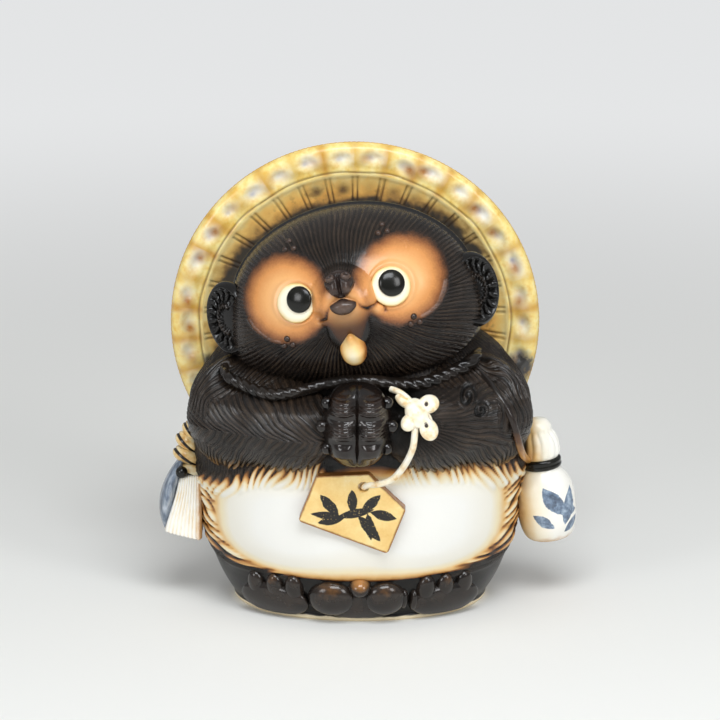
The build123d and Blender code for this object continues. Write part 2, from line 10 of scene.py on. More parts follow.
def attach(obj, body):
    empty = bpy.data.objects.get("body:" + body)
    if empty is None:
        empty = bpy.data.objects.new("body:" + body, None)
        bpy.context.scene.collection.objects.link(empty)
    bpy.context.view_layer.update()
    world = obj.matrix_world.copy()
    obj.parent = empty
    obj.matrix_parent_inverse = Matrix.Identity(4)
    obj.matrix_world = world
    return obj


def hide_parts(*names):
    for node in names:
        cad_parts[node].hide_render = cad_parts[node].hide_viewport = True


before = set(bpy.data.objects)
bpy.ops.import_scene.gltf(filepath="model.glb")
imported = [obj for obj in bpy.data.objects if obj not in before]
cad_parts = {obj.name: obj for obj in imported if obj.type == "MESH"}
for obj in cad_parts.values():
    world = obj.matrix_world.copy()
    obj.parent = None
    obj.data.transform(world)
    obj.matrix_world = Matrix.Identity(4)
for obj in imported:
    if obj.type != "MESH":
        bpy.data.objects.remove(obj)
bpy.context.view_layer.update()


# Trunk: two slip-cast halves luted at the sides, with fur combed into the wet clay around a smooth belly.
# The belly stays white under clear glaze, and dark iron glaze is sprayed over the fur, thin at its edge.
trunk_heights = (0, 10, 32, 64, 94, 112, 127, 140, 150)
trunk_half_widths = (64, 70.5, 79.5, 85, 88, 87.5, 78.5, 66, 46)
trunk_half_depths = (45, 50.5, 57.5, 61, 60, 55, 47, 38, 27)
foot_wall = 6
belly_middle, belly_half_width, belly_half_height, belly_squareness = 58, 76.5, 33, 3.3
belly_top_left, belly_top_middle, belly_top_right = 20.5, 27, 23.5


def smooth_line(places, values, at):
    """A smooth line through the values at their places, read at other places."""
    places, values, at = (np.asarray(numbers, float) for numbers in (places, values, at))
    slopes = np.gradient(values, places)
    before = np.clip(np.searchsorted(places, at) - 1, 0, len(places) - 2)
    step = places[before + 1] - places[before]
    part = np.clip((at - places[before]) / step, 0, 1)
    rest = 1 - part
    return ((1 + 2 * part) * rest**2 * values[before] + part * rest**2 * step * slopes[before]
            + (1 + 2 * rest) * part**2 * values[before + 1] - rest * part**2 * step * slopes[before + 1])


def ease(value, start, end):
    """0 at start, 1 at end, with a soft change between them."""
    part = np.clip((value - start) / (end - start), 0, 1)
    return part * part * (3 - 2 * part)


def chance(number):
    """A number from 0 to 1 that looks random and is the same in every run."""
    return np.modf(np.abs(np.sin(number * 12.9898 + 4.1) * 43758.5453))[0]


def bell(distance, width):
    """1 where there is no distance, falling off softly over the width."""
    return np.exp(-((distance / width) ** 2))


def combed(phase):
    """Fur drawn with a comb: round strands, one per unit of phase, with a sharp groove between them."""
    strand = np.floor(phase + 0.5)
    return np.abs(np.cos(pi * phase)) * (0.65 + 0.35 * chance(strand))


def strands(phase):
    """Combed fur with finer hairs on each strand."""
    return 0.72 * combed(phase) + 0.28 * combed(phase * 2.6 + 0.3)


def rolled(around, along, shape):
    """A sheet of clay rolled into a closed form, given by the shares of the way round it and along it."""
    bm = bmesh.new()
    bmesh.ops.create_grid(bm, x_segments=around, y_segments=along, size=0.5)
    flat = np.array([vertex.co for vertex in bm.verts]) + 0.5
    for vertex, place in zip(bm.verts, shape(flat[:, 0], flat[:, 1])):
        vertex.co = place
    bmesh.ops.remove_doubles(bm, verts=bm.verts, dist=1e-5)
    return bm


def turned(profile, steps):
    """A form turned about the upright axis from points of radius and height."""
    profile = np.array(profile, float)

    def wheel(round_share, up_share):
        radius, height = profile[np.rint(up_share * (len(profile) - 1)).astype(int)].T
        turn = 2 * pi * round_share
        return np.stack((radius * np.cos(turn), radius * np.sin(turn), height), 1)
    return rolled(steps, len(profile) - 1, wheel)


def round_form(around, rings):
    """A ball of radius 1 with its poles up and down."""
    def globe(round_share, up_share):
        turn, rise = 2 * pi * round_share, pi * (up_share - 0.5)
        return np.stack((np.cos(rise) * np.cos(turn), np.cos(rise) * np.sin(turn), np.sin(rise)), 1)
    return rolled(around, rings, globe)


def clay(bm, name):
    """The worked form as a mesh, still in millimetres."""
    bmesh.ops.remove_doubles(bm, verts=bm.verts, dist=1e-4)
    bmesh.ops.recalc_face_normals(bm, faces=bm.faces)
    mesh = bpy.data.meshes.new(name)
    bm.to_mesh(mesh)
    bm.free()
    return mesh


def points_of(mesh):
    """The mesh's points, one row each."""
    flat = np.empty(len(mesh.vertices) * 3, np.float32)
    mesh.vertices.foreach_get("co", flat)
    return flat.reshape(-1, 3).astype(float)


def outward(mesh):
    """The direction out of the clay at each of its points."""
    flat = np.empty(len(mesh.vertices) * 3, np.float32)
    mesh.vertex_normals.foreach_get("vector", flat)
    return flat.reshape(-1, 3).astype(float)


def press(mesh, points, **marks):
    """Moves the clay's points, and leaves marks on them that the glaze reads."""
    mesh.vertices.foreach_set("co", points.astype(np.float32).ravel())
    for name, values in marks.items():
        mark = mesh.attributes.get(name) or mesh.attributes.new(name, "FLOAT", "POINT")
        mark.data.foreach_set("value", np.asarray(values, np.float32))
    mesh.update()


def set_in_place(mesh, glaze):
    """The finished piece, in metres and on the figure."""
    mesh.transform(Matrix.Scale(0.001, 4))
    mesh.shade_smooth()
    mesh.materials.append(glaze)
    piece = bpy.data.objects.new(mesh.name, mesh)
    bpy.context.collection.objects.link(piece)
    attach(piece, "root")
    return piece


def tint(red, green, blue):
    """A colour written as it looks on a screen, 0 to 255."""
    shares = (number / 255 for number in (red, green, blue))
    linear = [((share + 0.055) / 1.055) ** 2.4 if share > 0.04 else share / 12.92 for share in shares]
    return (*linear, 1.0)


class Wash:
    """A socket in a glaze's node tree, so that sums on it are written as Python sums."""

    def __init__(self, tree, socket):
        self.tree, self.socket = tree, socket

    def node(self, kind, settings=None, inputs=None, out=0):
        """A new node with its settings and the values or links of its sockets."""
        made = self.tree.nodes.new("ShaderNode" + kind)
        for name, value in (settings or {}).items():
            setattr(made, name, value)
        for name, value in (inputs or {}).items():
            if isinstance(value, Wash):
                self.tree.links.new(value.socket, made.inputs[name])
            else:
                made.inputs[name].default_value = value
        return Wash(self.tree, made.outputs[out])

    def math(self, operation, first, second=0.0):
        return self.node("Math", {"operation": operation}, {0: first, 1: second})

    def __add__(self, other):
        return self.math("ADD", self, other)

    def __radd__(self, other):
        return self.math("ADD", other, self)

    def __sub__(self, other):
        return self.math("SUBTRACT", self, other)

    def __rsub__(self, other):
        return self.math("SUBTRACT", other, self)

    def __mul__(self, other):
        return self.math("MULTIPLY", self, other)

    def __rmul__(self, other):
        return self.math("MULTIPLY", other, self)

    def __truediv__(self, other):
        return self.math("DIVIDE", self, other)

    def __rtruediv__(self, other):
        return self.math("DIVIDE", other, self)

    def __pow__(self, other):
        return self.math("POWER", self, other)

    def __abs__(self):
        return self.math("ABSOLUTE", self)

    def fade(self, start, end):
        """0 at start, 1 at end, with a soft change between them."""
        return self.node("MapRange", {"interpolation_type": "SMOOTHSTEP"},
                         {"Value": self, "From Min": start, "From Max": end})

    def blend(self, under, over):
        """The first colour where this is 0, and the second where it is 1."""
        return self.node("Mix", {"data_type": "RGBA"}, {0: self, 6: under, 7: over}, 2)

    def tones(self, *stops):
        """A colour that runs through the stops, each a value of this and a colour."""
        low, high = stops[0][0], stops[-1][0]
        ramp = self.node("ValToRGB", None, {0: (self - low) / (high - low)})
        elements = ramp.socket.node.color_ramp.elements
        for number, (value, shade) in enumerate(stops):
            place = (value - low) / (high - low)
            if 0 < number < len(stops) - 1:
                element = elements.new(place)
            else:
                element = elements[0 if number == 0 else len(elements) - 1]
                element.position = place
            element.color = shade
        return ramp

    def scaled(self, size):
        return self.node("VectorMath", {"operation": "SCALE"}, {0: self, "Scale": size})

    def stretched(self, across, deep, up):
        return self.node("VectorMath", {"operation": "MULTIPLY"}, {0: self, 1: (across, deep, up)})

    def parts(self):
        """The three numbers of a place."""
        first = self.node("SeparateXYZ", None, {0: self})
        return [Wash(self.tree, socket) for socket in first.socket.node.outputs]

    def cloud(self, grain, detail=3.0):
        """Soft random patches about as large as the grain, in millimetres."""
        return self.node("TexNoise", None, {"Vector": self, "Scale": 1 / grain, "Detail": detail})

    def mark(self, name):
        """A number that was left on the clay's points."""
        return self.node("Attribute", {"attribute_name": name}, out=2)

    def bump(self, depth, under=None):
        """The surface raised by this many millimetres where this is 1."""
        inputs = {"Height": self, "Distance": depth / 1000}
        if under:
            inputs["Normal"] = under
        return self.node("Bump", None, inputs)

    def least(self, other):
        return self.math("MINIMUM", self, other)

    def most(self, other):
        return self.math("MAXIMUM", self, other)

    def onto(self, shader, socket):
        self.tree.links.new(self.socket, shader.inputs[socket])


def new_glaze(name, roughness=0.16, gloss=0.42):
    """A glassy glaze, its shader, and the place on the piece in millimetres."""
    glaze = bpy.data.materials.new(name)
    glaze.use_nodes = True
    shader = glaze.node_tree.nodes["Principled BSDF"]
    shader.inputs["Roughness"].default_value = roughness
    shader.inputs["Specular IOR Level"].default_value = gloss
    place = Wash(glaze.node_tree, glaze.node_tree.nodes.new("ShaderNodeTexCoord").outputs["Object"])
    return glaze, shader, place.scaled(1000)


iron_black, iron_brown, iron_thin = tint(16, 14, 13), tint(44, 35, 28), tint(70, 57, 45)


def iron_tone(place, raised):
    """Dark iron glaze: black where it pools in the grooves, brown where it is thin on raised clay."""
    thin = raised * 0.8 + place.cloud(12) * 0.9 - 0.5
    return thin.tones((0.0, iron_black), (0.5, iron_brown), (0.95, iron_thin))


def glassy_skin(place):
    """The faint ripple of fired glaze."""
    return place.cloud(2.6, 2.0).bump(0.05)


def rippled_glaze(name, roughness=0.16, gloss=0.42):
    """A new glaze that already has the faint ripple."""
    glaze, shader, place = new_glaze(name, roughness, gloss)
    glassy_skin(place).onto(shader, "Normal")
    return glaze, shader, place


def fur_skin(place, share):
    """Glaze over combed clay: fine hairs along the strands, as deep as the share, under the ripple."""
    hairs = abs(place.math("SINE", place.mark("lay") * (pi * 4) + place.cloud(3) * 3))
    return (hairs * share).bump(0.16, glassy_skin(place))


def hip_drop(x):
    """How much lower the fur hangs over the belly at the ledger's hip."""
    return 5 * ease(-x, 50, 68)


def belly_gap(points):
    """How far a place lies outside the belly's edge, in millimetres, and how far along that edge."""
    x, y, z = points.T
    top = belly_top_left + (belly_top_right - belly_top_left) * ease(x, -20, 50)
    top += (belly_top_middle - top) * bell(x - 4, 24) - hip_drop(x)
    half_height = np.where(z > belly_middle, top, belly_half_height)
    across, up = x / belly_half_width, (z - belly_middle) / half_height
    power = belly_squareness
    reach = (np.abs(across) ** power + np.abs(up) ** power) ** (1 / power) + 1e-6
    gap = np.hypot(x, z - belly_middle) * (1 - 1 / reach)
    return np.maximum(gap, y + 20), np.arctan2(up, across) * 58


rows = np.linspace(0, 150, 126)
foot_inner = trunk_half_widths[0] - foot_wall
skin_line = list(zip(smooth_line(trunk_heights, trunk_half_widths, rows), rows))
trunk_bm = turned([(0, foot_wall), (foot_inner, foot_wall), (foot_inner, 0)] + skin_line + [(0, 151)], 720)
trunk_mesh = clay(trunk_bm, "trunk")
points = points_of(trunk_mesh)
half_widths = smooth_line(trunk_heights, trunk_half_widths, points[:, 2])
turn = np.arccos(np.clip(points[:, 0] / half_widths, -1, 1))
points[:, 1] *= smooth_line(trunk_heights, trunk_half_depths, points[:, 2]) / half_widths
press(trunk_mesh, points)
x, y, z = points.T
gap, along = belly_gap(points)
lay = turn * 100 / pi + 0.5 * np.sin(z / 6 + turn * 5) + 0.35 * np.sin(z / 2.7 - turn * 11)
fur = strands(lay) * ease(gap, 6, 11) * ease(z, 22, 36)
outer = np.where(x > 0, -1, 1)
lock_phase = (x - 0.45 * outer * z) / 3.9 + 0.3 * np.sin(z / 5 + x / 7) + 0.35 * np.sin(x / 4.1)
lock = combed(lock_phase)
lock_run = 4 + 12 * chance(np.floor(lock_phase + 0.5) + 30)
hanging = (ease(z + hip_drop(x), 66, 71) * ease(np.abs(x - 2), 17, 25) * ease(gap, -11, -6)
           * (1 - ease(gap, 14, 22)))
tuft_phase = gap / 6.4 + outer * along / 10 + 0.3 * np.sin(along / 5)
tuft_wave = np.cos(pi * (along / 14 + chance(np.floor(tuft_phase + 0.5))))
tuft = combed(tuft_phase) * (0.35 + 0.65 * np.abs(tuft_wave) ** 0.6)
roped = ease(gap, -2.5, 0.5) * (1 - ease(gap, 11, 17)) * (1 - ease(z + hip_drop(x), 70, 75))
roped *= ease(np.abs(x), 30, 48) * ease(z, 18, 30)
ledge = bell(gap - 1.6, 1.1) * (1 - ease(z, 26, 34))
crown = 1 - ease(gap, -22, 0)
raised = 0.95 * fur + 1.6 * tuft * roped + 1.4 * lock * hanging + 0.9 * crown - 0.9 * ledge
raised *= ease(z, 1, 4)
points += outward(trunk_mesh) * raised[:, None]
half_depths = smooth_line(trunk_heights, trunk_half_depths, z)
foot_lip = (1 - ease(z, 1.4, 3.8)) * (np.hypot(x / half_widths, y / half_depths) > 0.97)
points[:, :2] *= (1 + (0.022 + 0.033 * ease(-y / half_depths, 0.3, 0.8)) * foot_lip)[:, None]
white_gap = gap * (1 + 1.6 * ease(gap, -0.5, 1) * (1 - ease(z, 40, 55)) * (1 - roped))
white_gap = (white_gap * (1 - 0.6 * roped - 0.4 * hanging)
             + (13 * (0.38 - tuft) - 1.4 + 3 * ease(z, 44, 24)) * roped
             + (lock_run * (0.38 - lock) - 3) * hanging)
press(trunk_mesh, points, raised=0.9 * fur + tuft * roped + lock * hanging, lay=lay, white_gap=white_gap)

trunk_glaze, shader, place = new_glaze("trunk_glaze", gloss=0.32)
edge = place.mark("white_gap") + (place.cloud(5) - 0.5) * 1.6
sprayed = edge.tones((-24, tint(240, 239, 234)), (-9, tint(240, 236, 224)), (-4.5, tint(240, 225, 188)),
                     (-1.6, tint(228, 184, 118)), (0.4, tint(178, 120, 62)), (2.0, tint(108, 69, 37)),
                     (3.8, tint(46, 34, 26)))
height = place.parts()[2]
glazed = edge.fade(2.2, 4.6).blend(sprayed, iron_tone(place, place.mark("raised")))
bare = (height + place.cloud(9) * 2.2).fade(3.5, 2.9)
bare.blend(glazed, tint(246, 230, 196)).onto(shader, "Base Color")
(0.17 + place.cloud(20) * 0.12 + bare * 0.4).onto(shader, "Roughness")
fur_skin(place, edge.fade(2, 6) * height.fade(20, 34)).onto(shader, "Normal")
trunk = set_in_place(trunk_mesh, trunk_glaze)
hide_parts("body_front_shell", "body_back_shell")


# Base slab: the clay sheet that closes the foot, left bare so that it doesn't stick to the kiln shelf.
# It is luted into the trunk's foot and has the hole that the slip was poured out of.
slab_glaze, shader, place = new_glaze("bare_clay", 0.75)
grit = place.cloud(0.7, 5.0)
(place.cloud(12) * 0.6 + grit * 0.4).tones((0.3, tint(186, 160, 124)), (0.7, tint(226, 206, 172))).onto(
    shader, "Base Color")
grit.bump(0.12).onto(shader, "Normal")


def glaze_solid(name, glaze):
    """Puts a glaze on a solid that is shown as it was packed."""
    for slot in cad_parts[name].material_slots:
        slot.material = glaze


glaze_solid("base_slab", slab_glaze)


# Head: a face pressed in one mould and a plain back, luted together and set into the collar of the trunk.
# Fur is combed outward from the face, and orange slip is sprayed on the smooth cheeks under clear glaze.
head_half_width, head_half_depth, head_half_height, head_back_depth = 65, 50, 47, 51
muzzle_half_width, muzzle_half_depth, muzzle_half_height = 17, 13, 18
muzzle_forward, muzzle_rise, chin_half_height = 45, 3, 25
cheek_out, cheek_rise, cheek_half_width, cheek_half_height = 29, 8.4, 21.8, 21.2
eye_out, eye_rise = 24.4, 6.5
jowl_turns = (-191, -181, -171, -159, -141, -121, -101, -81, -61, -46, -33, -19, -6, 9, 34, 79, 124, 149, 169,
              179, 189)
jowl_shares = (0.955, 0.965, 1.0, 1.055, 1.07, 1.05, 1.03, 1.02, 1.06, 1.11, 1.12, 1.08, 1.03, 1.0, 1.0, 1.02,
               1.0, 0.975, 0.955, 0.965, 1.0)
head_middle = (-4, -18, 166)
head_turn = (radians(-8), radians(-11), radians(-2.5))
head_place = (Matrix.Translation(head_middle) @ Matrix.Rotation(head_turn[2], 4, "Z")
              @ Matrix.Rotation(head_turn[1], 4, "Y") @ Matrix.Rotation(head_turn[0], 4, "X"))


def moved(points, place):
    """Points taken from a piece's own frame to the figure's."""
    matrix = np.array(place)
    return points @ matrix[:3, :3].T + matrix[:3, 3]


def muzzle_over(x, y, z):
    """The face's depth with the muzzle and the chin grown softly out of it."""
    half_width = muzzle_half_width - 4 * ease(z, 3, -4) + 3 * ease(z, -6, -20)
    half_height = np.where(z > muzzle_rise, muzzle_half_height, chin_half_height)
    dome = 1 - (x / half_width) ** 2 - ((z - muzzle_rise) / half_height) ** 2
    front = -muzzle_forward - muzzle_half_depth * np.sign(dome) * np.sqrt(np.abs(dome))
    soft = 5 + 5 * ease(z, 2, -14)
    part = np.clip(0.5 + 0.5 * (y - front) / soft, 0, 1)
    return y + (front - y) * part - soft * part * (1 - part)


def from_line(x, z, line):
    """How far places on the face lie from a drawn line."""
    nearest = np.full(x.shape, 1e3)
    for (ax, az), (bx, bz) in zip(line, line[1:]):
        run_x, run_z = bx - ax, bz - az
        part = np.clip(((x - ax) * run_x + (z - az) * run_z) / (run_x**2 + run_z**2), 0, 1)
        nearest = np.minimum(nearest, np.hypot(x - ax - part * run_x, z - az - part * run_z))
    return nearest


def face_cap(round_share, up_share):
    """The face's front half as part of a ball, closed at its back by a last point in the middle."""
    turn, polar = 2 * pi * round_share, 0.5 * pi * np.minimum(up_share * 98 / 97, 1)
    ring = np.where(up_share > 0.995, 0, np.sin(polar))
    return np.stack((ring * np.cos(turn), -np.cos(polar), ring * np.sin(turn)), 1)


def jowled(around, share):
    """How much fuller than an oval the head is, at a turn around it and a share of the way to its rim."""
    return 1 + (smooth_line(jowl_turns, jowl_shares, np.degrees(around)) - 1) * share


head_mesh = clay(rolled(1000, 98, face_cap), "face")
unit = points_of(head_mesh)
closing = np.linalg.norm(unit, axis=1) < 0.5
polar = np.degrees(np.arccos(np.clip(-unit[:, 1], -1, 1)))
around = np.arctan2(unit[:, 2], unit[:, 0])
full = jowled(around, ease(polar, 45, 85))
points = np.stack((head_half_width * unit[:, 0] * full, head_half_depth * unit[:, 1],
                   head_half_height * unit[:, 2] * full), 1)
x, y, z = points.T
front = polar < 86
points[:, 1] = np.where(np.hypot(x, z - 3) < 30, muzzle_over(x, y, z), y) * ~closing
press(head_mesh, points)
cheek = np.hypot((np.abs(x) - cheek_out) / cheek_half_width, (z - cheek_rise) / cheek_half_height)
snout = np.hypot(x / (16 - 3 * ease(z, 0, -12)), (z - 2) / np.where(z > 2, 14, 22))
lay = np.abs(around) * 66 / pi + 0.25 * np.sin(polar / 7 + 3 * around)
low = ease(-np.sin(around), 0.15, 0.6)
fur_share = ease(np.minimum(cheek, snout), 0.98, 1.25) * (1 - ease(polar, 78 - 2 * low, 84 - 2 * low))
fur = strands(lay) * fur_share
raised = (0.85 + 0.4 * ease(z, -8, -18) + 0.25 * ease(np.abs(x), 30, 45)) * fur
raised += 1.4 * (1 - low) * bell(polar - 86, 2.4)
cheek_lines = [[(-51, 1), (-49, -3.5), (-46, -7), (-41.5, -11), (-36, -12.8), (-33, -12.4)],
               [(51.5, 3), (50, -1.5), (46, -8), (41, -11), (36, -12.4)]]
for line in cheek_lines:
    raised += front * 0.9 * bell(from_line(x, z, line), 0.8)
smile_lines = [[(2, 6), (5.8, 4.0), (9, -0.5), (11.5, -2.2), (14.5, -1.2), (17, 0.2), (19.4, -1.6),
                (19.8, -5)],
               [(-2, 6), (-6, 4), (-9.2, -0.5), (-10.5, -3.6), (-13.6, -4.4)]]
smile = front * np.max([bell(from_line(x, z, line), 0.8) for line in smile_lines], 0)
raised -= 1.2 * smile
corners = np.zeros(len(x))
for spot_x, spot_z, size, rise in ((15.2, -3.6, 2.6, 1.4), (-13.4, -5.4, 2.4, 1.6)):
    spot = front * np.exp(-(((x - spot_x) ** 2 + (z - spot_z) ** 2) / size**2))
    raised += rise * spot
    corners = np.maximum(corners, spot)
jaw_lines = [[(13.5, -6), (11.5, -10), (9.8, -14), (9.2, -19), (10, -25)],
             [(-11.5, -8.5), (-10.5, -12), (-9.8, -16), (-9.6, -23)]]
jaw = front * np.max([bell(from_line(x, z, line), 3.0) for line in jaw_lines], 0)
raised -= 0.5 * jaw
chin = front * ease(z, 4, -11) * (1 - ease(np.abs(x), 12, 17))
for side in (-1, 1):
    lid = np.hypot(x - side * eye_out, z - eye_rise)
    raised += front * 0.6 * bell(lid - 11.3, 1.0)
raised *= ease(polar, 90, 88)
points += outward(head_mesh) * raised[:, None]
points[closing] = 0
blush = np.minimum(cheek, snout + 0.12) + 0.3 * smile + 0.1 * jaw - 0.35 * corners
press(head_mesh, moved(points, head_place), raised=fur, lay=lay, blush=blush, chin=chin, fur_share=fur_share)

face_glaze, shader, place = new_glaze("face_glaze")
blush_mark = place.mark("blush") + (place.cloud(7) - 0.5) * 0.14 + (place.cloud(1.0, 3.0) - 0.5) * 0.09
orange = blush_mark.tones((0.1, tint(238, 188, 134)), (0.5, tint(234, 174, 112)), (0.76, tint(214, 146, 84)),
                          (0.95, tint(150, 94, 54)), (1.12, tint(66, 45, 33)))
orange = (place.mark("chin") * 0.95).blend(orange, tint(58, 34, 20))
blush_mark.fade(0.92, 1.18).blend(orange, iron_tone(place, place.mark("raised"))).onto(shader, "Base Color")
(0.2 + place.cloud(18) * 0.1).onto(shader, "Roughness")
fur_skin(place, place.mark("fur_share")).onto(shader, "Normal")
face = set_in_place(head_mesh, face_glaze)
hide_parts("face_shell")


def skull_back(round_share, up_share):
    """The plain back of the head, from a first point in the middle of its front to its crown."""
    turn, back = 2 * pi * round_share, np.clip((up_share * 61 - 1) / 60, 0, 1)
    turn = np.arctan2(np.sin(turn), np.cos(turn))
    ring = (1 - 0.077 * back) * np.sqrt(1 - back**12) * jowled(turn, 1 - back) * (up_share > 0.005)
    return np.stack((head_half_width * ring * np.cos(turn), head_back_depth * back,
                     head_half_height * ring * np.sin(turn)), 1)


mesh = clay(rolled(800, 61, skull_back), "head_back")
points = points_of(mesh)
turn = np.abs(np.arctan2(points[:, 2] / head_half_height, points[:, 0] / head_half_width))
depth = points[:, 1]
fur = strands(turn * 60 / pi + 0.3 * np.sin(depth / 5 + turn * 4)) * ease(depth, 1, 5) * ease(depth, 48, 40)
points += outward(mesh) * (0.9 * fur)[:, None]
press(mesh, moved(points, head_place), raised=fur)
iron_glaze, shader, place = rippled_glaze("iron_glaze")
iron_tone(place, place.mark("raised")).onto(shader, "Base Color")
(0.14 + place.cloud(16) * 0.12).onto(shader, "Roughness")
head_back_piece = set_in_place(mesh, iron_glaze)
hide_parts("head_back_shell")


# Neck roll: a roll of clay twisted like a lock of fur, which lies under the chin from ear to ear.
# It is luted over the joint of head and trunk, and has the dark glaze of the head.
collar_run = np.array([(-71, -28, 132), (-67, -43, 130), (-59.7, -47.8, 127.4), (-51, -55.8, 126),
                       (-42.5, -60.8, 125.8), (-34, -60.8, 127), (-25.7, -57, 128), (-17.4, -55, 129.6),
                       (-9, -56, 131.2), (-0.5, -56.3, 131.6), (9.7, -55, 130.6), (20.7, -52, 128.4),
                       (30.8, -50.8, 128.4), (40.2, -45.8, 129.9), (48.2, -39, 131.8), (58, -31.5, 136),
                       (62, -10, 137)])
collar_radius = 3.0


def collar(round_share, up_share):
    """The twisted roll of fur that lies under the chin from ear to ear."""
    stations = np.linspace(0, 1, len(collar_run))
    middle, behind, ahead = (
        np.stack([smooth_line(stations, line, np.clip(up_share + step, 0, 1)) for line in collar_run.T], 1)
        for step in (0, -0.002, 0.002))
    along = (ahead - behind) / np.linalg.norm(ahead - behind, axis=1)[:, None]
    side = np.cross(along, (0, -0.3, 1))
    side /= np.linalg.norm(side, axis=1)[:, None]
    turn, from_middle = 2 * pi * round_share, np.abs(2 * up_share - 1)
    twist = 0.06 + 0.2 * ease(from_middle, 0.25, 0.6)
    radius = collar_radius * (1 + twist * (np.abs(np.cos(1.5 * turn + 95 * up_share)) - 0.6))
    radius = radius * np.sqrt(1 - from_middle**14) * (1 + 0.2 * ease(up_share, 0.4, 0.55))
    return (middle + (radius * np.cos(turn))[:, None] * side
            + (radius * np.sin(turn))[:, None] * np.cross(side, along))


mesh = clay(rolled(36, 460, collar), "neck_roll")
press(mesh, points_of(mesh), raised=np.full(len(mesh.vertices), 0.3))
neck_roll = set_in_place(mesh, iron_glaze)


# Hat: a straw hat that hangs behind the head, pressed in one mould with thumb dents along its rim.
# Yellow glaze lies over it, runs amber on the raised clay and pools white in the dents.
hat_middle = (-2.6, 24, 140.4)
hat_section = [(0, 25), (40, 12.5), (62, 5.9), (75.5, 2.2), (78.3, 1.1), (80.2, 0.1), (81.8, -0.1), (83, 0.2),
               (88.5, -0.5), (92.5, -0.2), (95.2, 1.0), (96.5, 3.5), (95.2, 6.1), (93, 7), (86, 9.5),
               (60, 18.7), (0, 40)]
dent_count, dent_ring, soot_ring = 34, 88.9, 70.5
reach, section = [0.0], np.array(hat_section, float)
for first, second in zip(section, section[1:]):
    reach.append(reach[-1] + np.hypot(*(second - first)))
spots = np.concatenate([np.linspace(0, reach[2], 12)[:-1], np.linspace(reach[2], reach[13], 74)[:-1],
                        np.linspace(reach[13], reach[-1], 24)])
radii, depths = smooth_line(reach, section[:, 0], spots), smooth_line(reach, -section[:, 1], spots)
radii[0] = radii[-1] = 0
hat_bm = turned(list(zip(radii, depths)), dent_count * 20)
bmesh.ops.rotate(hat_bm, verts=hat_bm.verts, cent=(0, 0, 0), matrix=Matrix.Rotation(pi / 2, 3, "X"))
hat_mesh = clay(hat_bm, "hat")
points = points_of(hat_mesh)
x, _, z = points.T
radius, turn = np.hypot(x, z), np.arctan2(z, x) * dent_count / (2 * pi)
facing = outward(hat_mesh)[:, 1] < 0.2
dent_number = np.mod(np.round(turn), dent_count)
across = (turn - np.round(turn)) * 2 * pi * radius / dent_count + 3.0 * (chance(dent_number) - 0.5)
up = radius - dent_ring + 2.4 * (chance(dent_number + 40) - 0.5)
size = 0.8 + 0.4 * chance(dent_number + 80)
dent = np.hypot(across / (6.4 * size), up / 4.6)
well = (1 - ease(dent, 0.05, 1.1)) * facing
pool = np.exp(-1.4 * (((across + 1.4) / (6.2 * size)) ** 2 + ((up - 0.5) / 4.4) ** 2)) * facing
pool *= 0.4 + 0.6 * chance(dent_number + 3)
core = np.exp(-(((across - 1.0) / 2.0) ** 2 + ((up + 0.4) / 1.6) ** 2)) * facing * chance(dent_number + 5)
lean = np.where(chance(dent_number + 9) > 0.5, 1, -1)
smudge = np.exp(-(((across - 3.4 * lean) / 3.3) ** 2 + ((up + 1.0) / 3.0) ** 2)) * facing
smudge *= ease(chance(dent_number + 11), 0.0, 0.7)
soot = np.exp(-(((across - 5 * chance(dent_number + 21) + 2.5) / 3.4) ** 2
               + ((radius - soot_ring - 4 * chance(dent_number + 22)) / 3.2) ** 2)) * facing
soot *= ease(chance(dent_number + 23), 0.1, 0.8)
fold_number = np.round(turn - 0.5)
from_fold = np.abs((turn - 0.5 - fold_number) * 2 * pi * radius / dent_count)
fold = bell(from_fold - 1.2, 0.5) * ease(radius, 54, 58) * (1 - ease(radius, 78, 80.5)) * facing
between = bell(from_fold, 2.8) * (0.3 + 0.7 * chance(fold_number + 60)) * facing
waver = 0.3 * np.sin(22 * pi * turn / dent_count) + 0.2 * np.sin(38 * pi * turn / dent_count + 1)
ridge_line = bell(radius - 82 - waver, 0.5) * facing
# A pale line along the ridge at the inner ring's edge: a painted highlight.
ridge_bead = bell(radius - 80.6, 0.7) * facing
head_x, head_z = x + hat_middle[0] + 4, z + hat_middle[2] - 153.5
from_head = np.hypot((head_x * cos(head_turn[1]) - head_z * sin(head_turn[1])) / 66,
                     (head_x * sin(head_turn[1]) + head_z * cos(head_turn[1])) / 48)
at_shoulder = np.exp(-(((x + hat_middle[0] - 85) ** 2 + (z + hat_middle[2] - 117) ** 2) / 90))
at_shoulder += 0.7 * np.exp(-(((x + hat_middle[0] + 80) ** 2 + (z + hat_middle[2] - 120) ** 2) / 40))
plait = np.abs(np.cos(pi * radius / 4.0)) * (~facing) * ease(radius, 6, 12)
straw_lay = np.abs(np.cos(pi * np.arctan2(z, x) * 40)) * (~facing)
raised = -2.0 * well - 0.9 * fold - 0.6 * ridge_line + 0.6 * plait + 0.25 * straw_lay * plait
points += outward(hat_mesh) * raised[:, None] + np.array(hat_middle)
press(hat_mesh, points, pool=pool, core=core, soot=soot, smudge=smudge, fold=fold, between=between,
      ridge_line=ridge_line, ridge_bead=ridge_bead, reach=radius, from_head=from_head, shoulder=at_shoulder,
      plait=plait * (0.6 + 0.4 * straw_lay), behind=np.where(facing, 0.0, 1.0))

